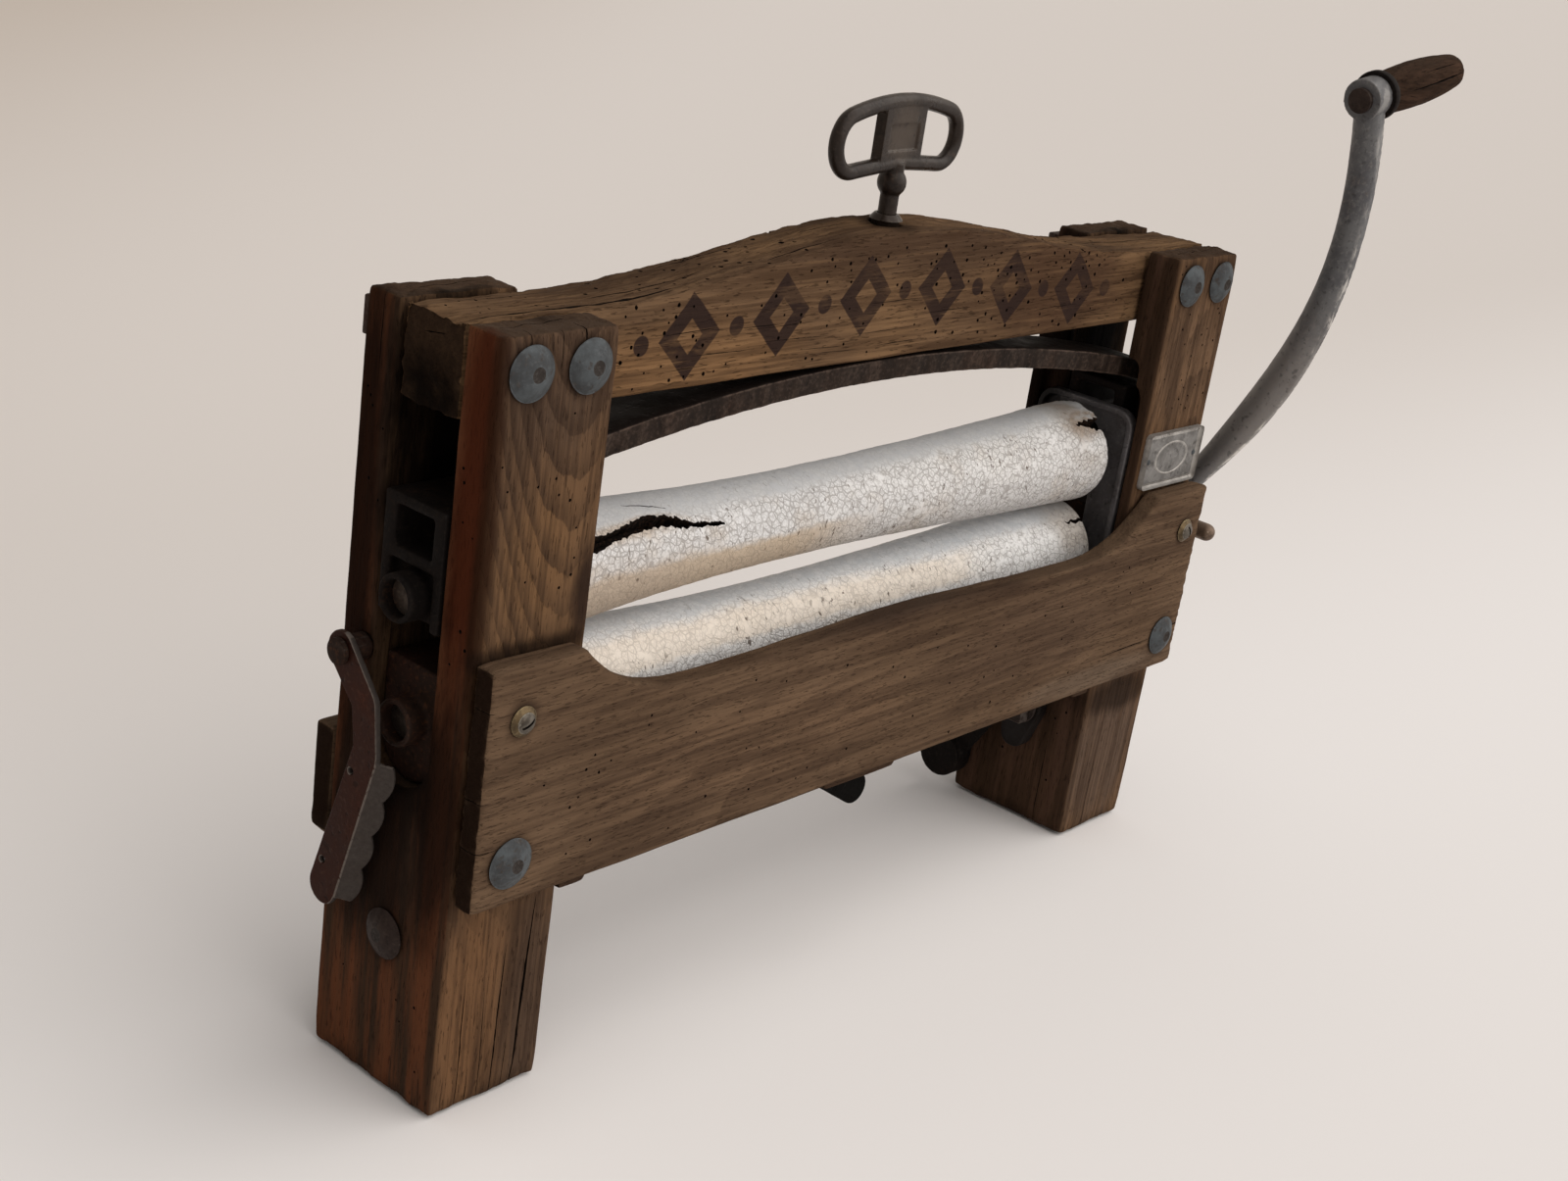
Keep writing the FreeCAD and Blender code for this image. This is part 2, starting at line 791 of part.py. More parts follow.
def make_handle(base):
    """Loop of round bar with a plate across its middle, in the XZ plane, standing on the neck at base."""
    end_x = handle_half_width - handle_bar_radius - handle_end_radius
    bar_z = base + handle_bar_radius
    droop_z = bar_z - handle_droop
    end_z = droop_z + handle_end_radius
    top_z = bar_z + handle_height
    slope = math.atan2(handle_droop, end_x)
    low = Vec(end_x - handle_end_radius * math.sin(slope), 0, end_z - handle_end_radius * math.cos(slope))
    rise = top_z - end_z
    crown_radius = (rise ** 2 + end_x ** 2 - handle_end_radius ** 2) / (2 * (rise - handle_end_radius))
    crown = Vec(0, 0, top_z - crown_radius)
    toward = (Vec(end_x, 0, end_z) - crown).normalize()
    high = Vec(end_x, 0, end_z) + toward * handle_end_radius
    far = Vec(end_x + handle_end_radius, 0, end_z)

    def flip(point):
        return Vec(-point.x, 0, point.z)

    middle = Vec(0, 0, bar_z)
    path = Part.Wire([
        line(middle, low),
        arc(low, far, high),
        arc(high, Vec(0, 0, top_z), flip(high)),
        arc(flip(high), flip(far), flip(low)),
        line(flip(low), middle),
    ])
    ring = Part.Wire(Part.makeCircle(handle_bar_radius, middle, (low - middle).normalize()))
    loop = path.makePipeShell([ring], True, False, 2)
    half = handle_plate_width / 2
    thick = handle_plate_thickness / 2
    plate = box(-half, half, -thick, thick, bar_z, top_z)
    return fuse(loop, plate)


def make_screw():
    foot = beam_under + shoe_thickness - shoe_socket_depth + spring_gap
    bead_z = beam_crown + bush_flange_height + screw_travel + bead_clearance + bead_radius
    stem = rod(Vec(0, 0, foot), axis_z, screw_stem_radius, bead_z - foot)
    bead = Part.makeSphere(bead_radius, Vec(0, 0, bead_z))
    base = bead_z + neck_height
    neck = rod(Vec(0, 0, bead_z), axis_z, neck_radius, neck_height + handle_bar_radius)
    screw = fuse(stem, bead, neck, make_handle(base))
    screw.rotate(Vec(0, 0, 0), axis_z, handle_turn)
    return screw


def make_lever():
    """Flat iron lever: an eye on the pivot, an arm that bows to the front and a grip that hangs below."""
    inner = post_outer + lever_standoff
    eye = Vec(inner, lever_pivot_y, lever_pivot_z)
    elbow = eye + Vec(0, -lever_elbow_forward, -lever_elbow_drop)
    bend = eye + Vec(0, -lever_bend_forward, -lever_bend_drop)
    tip = eye + Vec(0, lever_tip_back, -lever_tip_drop)
    thick = lever_thickness
    upper_arm = link_plate(eye, lever_eye_radius, elbow, lever_elbow_radius, axis_x, thick)
    lower_arm = link_plate(elbow, lever_elbow_radius, bend, lever_bend_radius, axis_x, thick)
    grip = link_plate(bend, lever_bend_radius, tip, lever_tip_radius, axis_x, thick)
    front_side = flanks(bend, lever_bend_radius, tip, lever_tip_radius, axis_x)[1]
    flange = make_lever_flange(front_side[0] + axis_x * thick, front_side[1] + axis_x * thick)
    reach = thick + 2 * over
    cuts = [rod(eye - axis_x * over, axis_x, lever_pivot_radius + lever_pivot_gap, reach)]
    run = tip - bend
    back = axis_x.cross(run).normalize()
    for share in lever_hole_shares:
        spot = bend + run * share + back * lever_hole_back
        cuts.append(rod(spot - axis_x * over, axis_x, lever_hole_radius, reach))
    return fuse(upper_arm, lower_arm, grip, flange).cut(cuts)


def make_lever_flange(top, low):
    """Strip turned in from the grip's front edge, top to low, with finger lobes along its free edge."""
    slant = math.radians(lever_flange_slant)
    run = (low - top).Length
    along = (low - top).normalize()
    forward = along.cross(axis_x)
    width = forward * math.sin(slant) - axis_x * math.cos(slant)
    inward = -forward * math.cos(slant) - axis_x * math.sin(slant)
    pitch = run / lever_lobes
    root = width * (lever_flange_width - lever_lobe_depth)
    edges = [line(low, top), line(top, top + root)]
    for i in range(lever_lobes):
        start = top + root + along * (i * pitch)
        middle = start + along * (pitch / 2) + width * lever_lobe_depth
        edges.append(arc(start, middle, start + along * pitch))
    edges.append(line(low + root, low))
    return extrude(edges, inward * lever_flange_thickness)


def make_lever_pivot():
    inner = post_outer + lever_standoff
    start = Vec(post_outer - lever_pivot_depth, lever_pivot_y, lever_pivot_z)
    outer = lever_thickness + lever_side_gap
    pin = rod(start, axis_x, lever_pivot_radius, lever_pivot_depth + lever_standoff + outer)
    at_post = Vec(post_outer, lever_pivot_y, lever_pivot_z)
    shoulder = rod(at_post, axis_x, lever_shoulder_radius, lever_standoff - lever_side_gap)
    at_head = Vec(inner + outer, lever_pivot_y, lever_pivot_z)
    head = rod(at_head, axis_x, lever_head_radius, lever_head_height)
    return fuse(pin, shoulder, head)


def make_paw():
    """Flat iron paw: a hub on the foot bolt, a short tab below and a bent arm to a pad low at the back."""
    face = post_inner - paw_side_gap
    hub = Vec(face, -foot_bolt_forward, foot_bolt_height)
    tab = hub + Vec(0, paw_tab_back, -paw_tab_drop)
    knee = hub + Vec(0, paw_knee_back, -paw_knee_drop)
    pad = hub + Vec(0, paw_pad_back, -paw_pad_drop)
    body = fuse(
        link_plate(hub, paw_hub_radius, tab, paw_tab_radius, -axis_x, paw_thickness),
        link_plate(hub, paw_arm_radius, knee, paw_arm_radius, -axis_x, paw_thickness),
        link_plate(knee, paw_arm_radius, pad, paw_pad_radius, -axis_x, paw_thickness),
        rod(pad, -axis_x, paw_pad_radius, paw_pad_thickness),
    )
    reach = paw_thickness + 2 * over
    return body.cut(rod(hub + axis_x * over, -axis_x, bolt_radius + lever_pivot_gap, reach))


def make_beam_bolts():
    bolts = []
    nuts = []
    washers = []
    length = post_depth + washer_thickness + nut_height + bolt_end_proud
    for x in beam_bolt_stations():
        for side in (-1, 1):
            bolts.append(dome_bolt(Vec(side * x, post_front, beam_bolt_z), axis_y, length))
            washers.append(washer(Vec(side * x, post_back, beam_bolt_z), axis_y))
            nuts.append(square_nut(Vec(side * x, post_back + washer_thickness, beam_bolt_z), axis_y))
    return bolts, washers, nuts


def make_board_bolts():
    length = rear_face - front_face + washer_thickness + nut_height + bolt_end_proud
    bolt = dome_bolt(Vec(board_bolt_x, front_face, board_bolt_z), axis_y, length)
    ring = washer(Vec(board_bolt_x, rear_face, board_bolt_z), axis_y)
    nut = square_nut(Vec(board_bolt_x, rear_face + washer_thickness, board_bolt_z), axis_y)
    return [bolt, mirrored(bolt)], [ring, mirrored(ring)], [nut, mirrored(nut)]


def make_foot_bolts():
    inner = post_inner - 2 * paw_side_gap - paw_thickness
    length = post_outer - inner + washer_thickness + nut_height + bolt_end_proud
    bolt = dome_bolt(Vec(post_outer, -foot_bolt_forward, foot_bolt_height), -axis_x, length)
    ring = washer(Vec(inner, -foot_bolt_forward, foot_bolt_height), -axis_x)
    nut = square_nut(Vec(inner - washer_thickness, -foot_bolt_forward, foot_bolt_height), -axis_x)
    return [bolt, mirrored(bolt)], [ring, mirrored(ring)], [nut, mirrored(nut)]


def make_board_screw():
    seat = Vec(screw_x, front_face - cup_height, screw_z)
    cap_radius = (screw_head_radius ** 2 + screw_head_height ** 2) / (2 * screw_head_height)
    ball = Part.makeSphere(cap_radius, seat + axis_y * (cap_radius - screw_head_height))
    head = ball.common(rod(seat - axis_y * screw_head_height, axis_y, screw_head_radius, screw_head_height))
    return fuse(head, rod(seat, axis_y, screw_shank_radius, screw_length + cup_height))


def make_screw_cup():
    seat = Vec(screw_x, front_face, screw_z)
    cup = Part.makeCone(cup_radius, screw_head_radius, cup_height, seat, -axis_y)
    return cup.cut(rod(seat + axis_y * over, -axis_y, screw_shank_radius, cup_height + 2 * over))


def tag_nail_spots():
    low = front_board_bottom + front_ear_height + tag_above_ear
    middle = low + tag_height / 2
    reach = tag_width / 2 - tag_nail_from_edge
    return [Vec(post_middle + side * reach, post_front - tag_thickness, middle) for side in (-1, 1)]


def make_tag():
    low = front_board_bottom + front_ear_height + tag_above_ear
    left = post_middle - tag_width / 2
    right = post_middle + tag_width / 2
    plate = box(left, right, post_front - tag_thickness, post_front, low, low + tag_height)
    plate = plate.makeFillet(tag_corner, edges_along(plate, axis_y))
    holes = []
    for spot in tag_nail_spots():
        holes.append(rod(spot - axis_y * over, axis_y, tag_nail_radius, 2 * over))
    return plate.cut(holes)


def make_tag_nails():
    nails = []
    for spot in tag_nail_spots():
        head = Part.makeCone(tag_nail_head, tag_nail_radius, tag_nail_height, spot, -axis_y)
        nails.append(fuse(head, rod(spot, axis_y, tag_nail_radius, tag_nail_length)))
    return nails


def drilled_for_nails(post):
    depth = tag_nail_length + tag_thickness
    return post.cut([rod(spot, axis_y, tag_nail_radius, depth) for spot in tag_nail_spots()])


def build():
    post = make_post()
    beam_bolts, beam_washers, beam_nuts = make_beam_bolts()
    board_bolts, board_washers, board_nuts = make_board_bolts()
    foot_bolts, foot_washers, foot_nuts = make_foot_bolts()
    lower_block = make_lower_block()
    upper_block = make_upper_block()
    cheek = make_cheek_plate()
    paw = make_paw()
    return {
        "left_post": mirrored(drilled_for_lever(post)),
        "right_post": drilled_for_nails(post),
        "top_beam": make_beam(),
        "front_board": make_front_board(),
        "rear_board": make_rear_board(),
        "centre_cleat": make_cleat(),
        "corner_cleats": pair(make_corner_cleat()),
        "rest_tongue": make_tongue(),
        "left_cheek_plate": mirrored(cheek),
        "right_cheek_plate": cheek,
        "left_lower_block": mirrored(lower_block),
        "right_lower_block": lower_block,
        "left_upper_block": mirrored(upper_block),
        "right_upper_block": upper_block,
        "bow_spring": make_spring(),
        "upper_shaft": make_upper_shaft(),
        "upper_roller": make_roller(upper_axis),
        "lower_shaft": make_lower_shaft(),
        "lower_roller": make_roller(lower_axis),
        "crank_arm": make_crank(),
        "crank_set_screw": make_set_screw(),
        "grip_pin": make_pin(),
        "grip_collar": make_collar(),
        "crank_grip": make_grip(),
        "screw_bush": make_bush(),
        "pressure_shoe": make_shoe(),
        "pressure_screw": make_screw(),
        "side_lever": mirrored(make_lever()),
        "lever_pivot": mirrored(make_lever_pivot()),
        "left_clamp_paw": mirrored(paw),
        "right_clamp_paw": paw,
        "beam_bolts": Part.makeCompound(beam_bolts),
        "beam_bolt_washers": Part.makeCompound(beam_washers),
        "beam_bolt_nuts": Part.makeCompound(beam_nuts),
        "board_bolts": Part.makeCompound(board_bolts),
        "board_bolt_washers": Part.makeCompound(board_washers),
        "board_bolt_nuts": Part.makeCompound(board_nuts),
        "foot_bolts": Part.makeCompound(foot_bolts),
        "foot_bolt_washers": Part.makeCompound(foot_washers),
        "foot_bolt_nuts": Part.makeCompound(foot_nuts),
        "board_screws": pair(make_board_screw()),
        "screw_cups": pair(make_screw_cup()),
        "tag_plate": make_tag(),
        "tag_nails": Part.makeCompound(make_tag_nails()),
    }


os.makedirs("parts", exist_ok=True)
for node, shape in build().items():
    shape.exportStep("parts/" + node + ".step")
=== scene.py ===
import bpy
import json
import math
import random
from functools import cached_property, partialmethod
from mathutils import Euler, Matrix, Vector
from types import SimpleNamespace


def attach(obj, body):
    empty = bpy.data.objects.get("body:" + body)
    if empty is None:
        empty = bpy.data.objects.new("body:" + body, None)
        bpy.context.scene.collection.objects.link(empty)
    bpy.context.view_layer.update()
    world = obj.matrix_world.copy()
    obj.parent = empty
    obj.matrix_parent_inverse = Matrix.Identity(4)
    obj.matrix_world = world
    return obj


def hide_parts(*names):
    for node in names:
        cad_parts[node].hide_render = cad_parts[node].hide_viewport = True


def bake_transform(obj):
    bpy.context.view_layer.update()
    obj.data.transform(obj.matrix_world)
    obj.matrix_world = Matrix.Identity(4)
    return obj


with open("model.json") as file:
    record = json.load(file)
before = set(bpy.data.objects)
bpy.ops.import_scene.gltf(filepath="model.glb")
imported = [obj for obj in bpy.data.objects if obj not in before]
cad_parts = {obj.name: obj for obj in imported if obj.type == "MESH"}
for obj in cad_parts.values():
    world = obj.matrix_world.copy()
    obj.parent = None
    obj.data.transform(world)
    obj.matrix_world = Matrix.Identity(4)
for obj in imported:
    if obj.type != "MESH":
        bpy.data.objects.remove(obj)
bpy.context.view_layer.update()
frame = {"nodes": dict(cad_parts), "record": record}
nodes = frame["nodes"]
bodyOf = {n: b for b, members in frame["record"]["behaviour"]["bodies"].items() for n in members}
scene = bpy.context.scene
scene.view_settings.view_transform = "Standard"
mm = 0.001
front, rear, left, right, up = (0, -1, 0), (0, 1, 0), (-1, 0, 0), (1, 0, 0), (0, 0, 1)
postFace, postOuter, postInner, postTop = 0.0425, 0.2815, 0.2155, 0.361
boardFront, beamFace = -0.0558, 0.0195


# ways of working that every piece shares

def link(name, mesh):
    piece = bpy.data.objects.new(name, mesh)
    scene.collection.objects.link(piece)
    return piece


def only(*pieces):  # the first one is active
    bpy.ops.object.select_all(action="DESELECT")
    for piece in pieces:
        piece.select_set(True)
    bpy.context.view_layer.objects.active = pieces[0]


def join(*pieces):
    only(*pieces)
    bpy.ops.object.join()


def startEdit(piece):
    only(piece)
    bpy.ops.object.mode_set(mode="EDIT")
    bpy.ops.mesh.select_all(action="SELECT")


def endEdit():
    bpy.ops.object.mode_set(mode="OBJECT")


def pickEdges(piece, wanted):  # edit mode with just these edges selected
    startEdit(piece)
    bpy.ops.mesh.select_all(action="DESELECT")
    endEdit()
    for edge in piece.data.edges:
        edge.select = wanted(*(piece.data.vertices[i].co for i in edge.vertices))
    bpy.ops.object.mode_set(mode="EDIT")


def modify(piece, kind, **settings):
    only(piece)
    step = piece.modifiers.new(kind.lower(), kind)
    for key, value in settings.items():
        setattr(step, key, value)
    bpy.ops.object.modifier_apply(modifier=step.name)


def bevel(piece, width, segments, angle, clamp=True):
    modify(piece, "BEVEL", width=width, segments=segments, limit_method="ANGLE", angle_limit=math.radians(angle),
           use_clamp_overlap=clamp)


def copyNode(node, name):
    piece = link(name, nodes[node].data.copy())
    piece.data.materials.clear()
    only(piece)
    bpy.ops.mesh.customdata_custom_splitnormals_clear()
    startEdit(piece)
    bpy.ops.mesh.remove_doubles(threshold=0.00001)
    endEdit()
    return piece


def applied(piece, scale=False):
    only(piece)
    bpy.ops.object.transform_apply(location=True, rotation=False, scale=scale)
    return piece


def block(place, size):
    bpy.ops.mesh.primitive_cube_add(size=1, location=place)
    bpy.context.object.scale = size
    return applied(bpy.context.object, True)


def roundArris(piece, width):  # takes the sharp corners off before the skin is remade
    startEdit(piece)
    bpy.ops.mesh.dissolve_limited(angle_limit=math.radians(1.5))
    endEdit()
    bevel(piece, width, 2, 40, False)


def soften(piece, voxel, rounds):  # one skin with the small fillets of a casting or worn timber
    modify(piece, "REMESH", mode="VOXEL", voxel_size=voxel, use_smooth_shade=True)
    modify(piece, "SMOOTH", factor=0.5, iterations=rounds)


def ripple(piece, size, strength, stretch=None, level=1.0, contrast=1.0, where=None):  # level 1 only takes away
    cloud = bpy.data.textures.new("ripple", "CLOUDS")
    cloud.noise_scale = size
    cloud.noise_depth = 3
    cloud.contrast = contrast
    settings = {"texture": cloud, "strength": strength, "mid_level": level}
    if where:
        group = piece.vertex_groups.new(name="where")
        for vertex in piece.data.vertices:
            weight = where(vertex.co)
            if weight > 0.01:
                group.add([vertex.index], min(1.0, weight), "REPLACE")
        settings["vertex_group"] = "where"
    if stretch:  # an empty that draws the noise out along the grain
        bpy.ops.object.empty_add(location=(0.013, 0.007, 0.011))
        guide = bpy.context.object
        guide.scale = stretch
        bpy.context.view_layer.update()
        settings.update(texture_coords="OBJECT", texture_coords_object=guide)
    modify(piece, "DISPLACE", **settings)
    piece.vertex_groups.clear()
    if stretch:
        bpy.data.objects.remove(guide)


def smoothBy(piece, angle):
    only(piece)
    bpy.ops.object.shade_smooth_by_angle(angle=math.radians(angle))


def coat(piece, *finishes):
    piece.data.materials.clear()
    for finish in finishes:
        piece.data.materials.append(finish)


def standFor(piece, node, material=None):
    if material:
        coat(piece, material)
    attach(piece, bodyOf[node])
    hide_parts(node)


def cutAway(piece, cutter):
    before = len(piece.data.vertices)
    for solver in ("MANIFOLD", "EXACT"):
        modify(piece, "BOOLEAN", object=cutter, operation="DIFFERENCE", solver=solver, material_mode="TRANSFER")
        if len(piece.data.vertices) not in (0, before):
            break
    bpy.data.objects.remove(cutter)


def near(value, level, reach):
    return max(0.0, 1 - abs(value - level) / reach)


def onFace(outward, level, first, second):  # a point on a side of the frame, from its place in that plane
    point = [first, second]
    point.insert([bool(part) for part in outward].index(True), level)
    return Vector(point)


class Cutter:  # splits, worm holes and gouges that are cut out together
    def __init__(self, name, material):
        self.name, self.material = name, material
        self.points, self.faces = [], []

    def skin(self, rings):  # closed over rings of points
        sides = len(rings[0])
        base = len(self.points)
        last = base + sides * (len(rings) - 1)
        self.points += [point for ring in rings for point in ring]
        for a in range(base, last, sides):
            for j in range(sides):
                k = (j + 1) % sides
                self.faces.append((a + j, a + k, a + sides + k, a + sides + j))
        self.faces += [tuple(range(base, base + sides)), tuple(reversed(range(last, last + sides)))]

    def split(self, path, outward, width, depth, seed, wander):  # runs along the grain
        dice = random.Random(seed)
        outward = Vector(outward).normalized()
        path = [Vector(p) for p in path]
        run = path[-1] - path[0]
        side = outward.cross(run.normalized()).normalized()
        steps = max(6, int(run.length / 0.004))
        drift = 0.0
        rings = []
        for i in range(steps + 1):
            t = i / steps
            spot = t * (len(path) - 1)
            k = min(int(spot), len(path) - 2)
            drift = 0.8 * drift + dice.uniform(-1, 1) * wander
            swell = max(0.08, math.sin(math.pi * t) ** 0.5) * dice.uniform(0.65, 1.1)
            half = side * (width / 2 * swell)
            point = path[k].lerp(path[k + 1], spot - k) + side * drift
            top = point + outward * 0.002
            low = point - outward * (depth * max(0.25, swell))
            rings.append([top - half, top + half, low + half * 0.3, low - half * 0.3])
        self.skin(rings)

    def splits(self, outward, level, *rows):  # both ends in the plane, then width and depth in mm, seed, wander in mm
        for a0, b0, a1, b1, wide, deep, seed, wander in rows:
            path = [onFace(outward, level, a0, b0), onFace(outward, level, a1, b1)]
            self.split(path, outward, wide * mm, deep * mm, seed, wander * mm)

    def checks(self, level, count, seed, first, deep, x, z, long, wide):  # short splits strewn over a front
        dice = random.Random(seed)
        for number in range(count):
            x0, z0, run = dice.uniform(*x), dice.uniform(*z), dice.uniform(*long)
            row = (x0, z0, x0 + run, z0 + dice.uniform(-1, 1) * mm, dice.uniform(*wide), deep, first + number, 0.1)
            self.splits(front, level, row)

    def wormHole(self, point, outward, radius, depth, seed, sides=7):
        dice = random.Random(seed)
        outward = Vector(outward)
        lean = Vector([dice.uniform(-0.25, 0.25) for _ in range(3)])
        into = (-outward + lean).normalized()
        across = outward.orthogonal().normalized()
        other = outward.cross(across)
        rings = []
        for centre, share in ((point + outward * 0.002, 1), (point + into * depth, 0.8)):
            ring = []
            for i in range(sides):
                turn = 2 * math.pi * i / sides
                reach = radius * dice.uniform(0.85, 1.15) * share
                ring.append(centre + across * (reach * math.cos(turn)) + other * (reach * math.sin(turn)))
            rings.append(ring)
        self.skin(rings)

    def holes(self, outward, level, *rows):  # corner and size in the plane, count, seed, radius in mm, depth
        for a, b, wide, high, count, seed, *rest in rows:
            self.scatter(outward, level, (a, b), (wide, high), count, seed, *rest)

    def scatter(self, outward, level, corner, size, count, seed, radius=(0.55, 1.0), depth=0.005):
        dice = random.Random(seed)
        found = []
        for _ in range(count * 12):
            if len(found) == count:
                break
            spot = onFace(outward, level, *(c + s * dice.random() for c, s in zip(corner, size)))
            if all((spot - other).length > 0.0035 for other in found):
                found.append(spot)
                reach, deep = dice.uniform(*radius) * mm, depth * dice.uniform(0.5, 1)
                self.wormHole(spot, outward, reach, deep, seed * 997 + len(found))

    def gouge(self, point, reach, seed, sides=9, levels=5):  # a lump bitten out of an edge
        dice = random.Random(seed)
        rings = []
        for level in range(1, levels):
            rise = math.pi * level / levels
            ring = []
            for i in range(sides):
                turn = 2 * math.pi * i / sides
                rough = math.sin(rise) * dice.uniform(0.72, 1.18)
                step = (math.cos(turn) * rough, math.sin(turn) * rough, math.cos(rise))
                ring.append(Vector([p + r * s for p, r, s in zip(point, reach, step)]))
            rings.append(ring)
        self.skin(rings)

    def make(self):
        mesh = bpy.data.meshes.new(self.name)
        mesh.from_pydata(self.points, [], self.faces)
        mesh.materials.append(self.material)
        cutter = link(self.name, mesh)
        startEdit(cutter)
        bpy.ops.mesh.normals_make_consistent(inside=False)
        endEdit()
        return cutter


# nodes of a material; colours are written as red, green and blue from 0 to 255

def tint(shade):
    shares = [value / 255 for value in shade]
    return [s / 12.92 if s <= 0.04045 else ((s + 0.055) / 1.055) ** 2.4 for s in shares] + [1]


class Signal:  # a node's output: sums of signals make more nodes
    def __init__(self, finish, socket):
        self.finish, self.socket = finish, socket

    def op(self, how, other=0.0):
        return self.finish.add("Math", {0: self, 1: other}, operation=how)

    __add__ = partialmethod(op, "ADD")
    __sub__ = partialmethod(op, "SUBTRACT")
    __mul__ = partialmethod(op, "MULTIPLY")
    __truediv__ = partialmethod(op, "DIVIDE")
    __abs__ = partialmethod(op, "ABSOLUTE")

    def less(self, share):  # 1 less a share of this
        return self.finish.add("Math", {0: 1.0, 1: self * share}, operation="SUBTRACT")

    def vector(self, how, other=(0, 0, 0), output=0):
        return self.finish.add("VectorMath", {0: self, 1: other}, output, operation=how)

    def part(self, axis):
        return self.finish.add("SeparateXYZ", {0: self}, axis)

    def noise(self, scale, detail=3.0, roughness=0.55, distortion=0.0, output="Fac"):
        return self.finish.add("TexNoise", {"Vector": self, "Scale": scale, "Detail": detail, "Roughness": roughness,
                                            "Distortion": distortion}, output)

    def band(self, low, high, first=0.0, last=1.0):  # a smooth step between two levels
        return self.finish.add("MapRange", {"Value": self, "From Min": low, "From Max": high, "To Min": first,
                                            "To Max": last}, interpolation_type="SMOOTHSTEP")

    def mix(self, first, second):  # this is the share of the second
        return self.finish.add("Mix", {0: self, 6: first, 7: second}, 2, data_type="RGBA")


class Finish:
    def __init__(self, owner):
        owner.use_nodes = True
        self.owner, self.tree = owner, owner.node_tree

    @cached_property
    def coords(self):
        return self.add("TexCoord", output="Object")

    def add(self, kind, sockets=None, output=0, **settings):
        made = self.tree.nodes.new("ShaderNode" + kind)
        for key, value in settings.items():
            setattr(made, key, value)
        for key, value in (sockets or {}).items():
            self.put(made.inputs[key], value)
        return Signal(self, made.outputs[output])

    def put(self, socket, value):
        if isinstance(value, Signal):
            self.tree.links.new(value.socket, socket)
        else:
            socket.default_value = tint(value) if socket.type == "RGBA" else value

    def mapped(self, location=(0, 0, 0), rotation=(0, 0, 0), scale=(1, 1, 1)):
        return self.add("Mapping", {0: self.coords, "Location": location, "Rotation": rotation, "Scale": scale})

    def facing(self, axis):
        return self.add("NewGeometry", output="Normal").part(axis)

    def edges(self, low, high):  # worn corners
        return self.add("NewGeometry", output="Pointiness").band(low, high)

    def zones(self, colour, spots, wobble):  # patches of another tone with ragged soft edges
        for at, reach, shade, show in spots:
            away = self.coords.vector("SUBTRACT", at).vector("DIVIDE", reach).vector("LENGTH", output="Value")
            colour = (away + wobble * 0.9).band(1.6, 0.85, 0.0, show).mix(colour, shade)
        return colour

    def close(self, colour, roughness, relief=None, metallic=0.0, specular=0.5):
        values = {"Base Color": colour, "Roughness": roughness, "Metallic": metallic, "Specular IOR Level": specular}
        if relief:
            values["Normal"] = self.add("Bump", dict(zip(("Height", "Strength", "Distance"), relief)))
        for key, value in values.items():
            self.put(self.tree.nodes["Principled BSDF"].inputs[key], value)
        return self.owner


def newFinish(name):
    return Finish(bpy.data.materials.new(name))


def shadeAndRustTint(name, colour, second):  # painted shade: the near-black inside of a split, hole, slot or tear; also the rust in a bolt's dimple
    finish = newFinish(name)
    speck = finish.coords.noise(700)
    return finish.close(speck.band(0.45, 0.7).mix(colour, second), 0.95, (speck, 0.5, 0.0006), specular=0.1)


# weathered timber: rings round a leaning pith, streaks, fibres, pores, grime and dust, with painted shade on tops, side
# faces, slots and undersides

timberUsual = dict(ringShow=0.7, stain=0.6, endShow=0.75, dust=0.5, roughLow=0.6, poreScale=1100, plainBelow=None,
                   zones=[], sides=[], grime=[], paint=None)


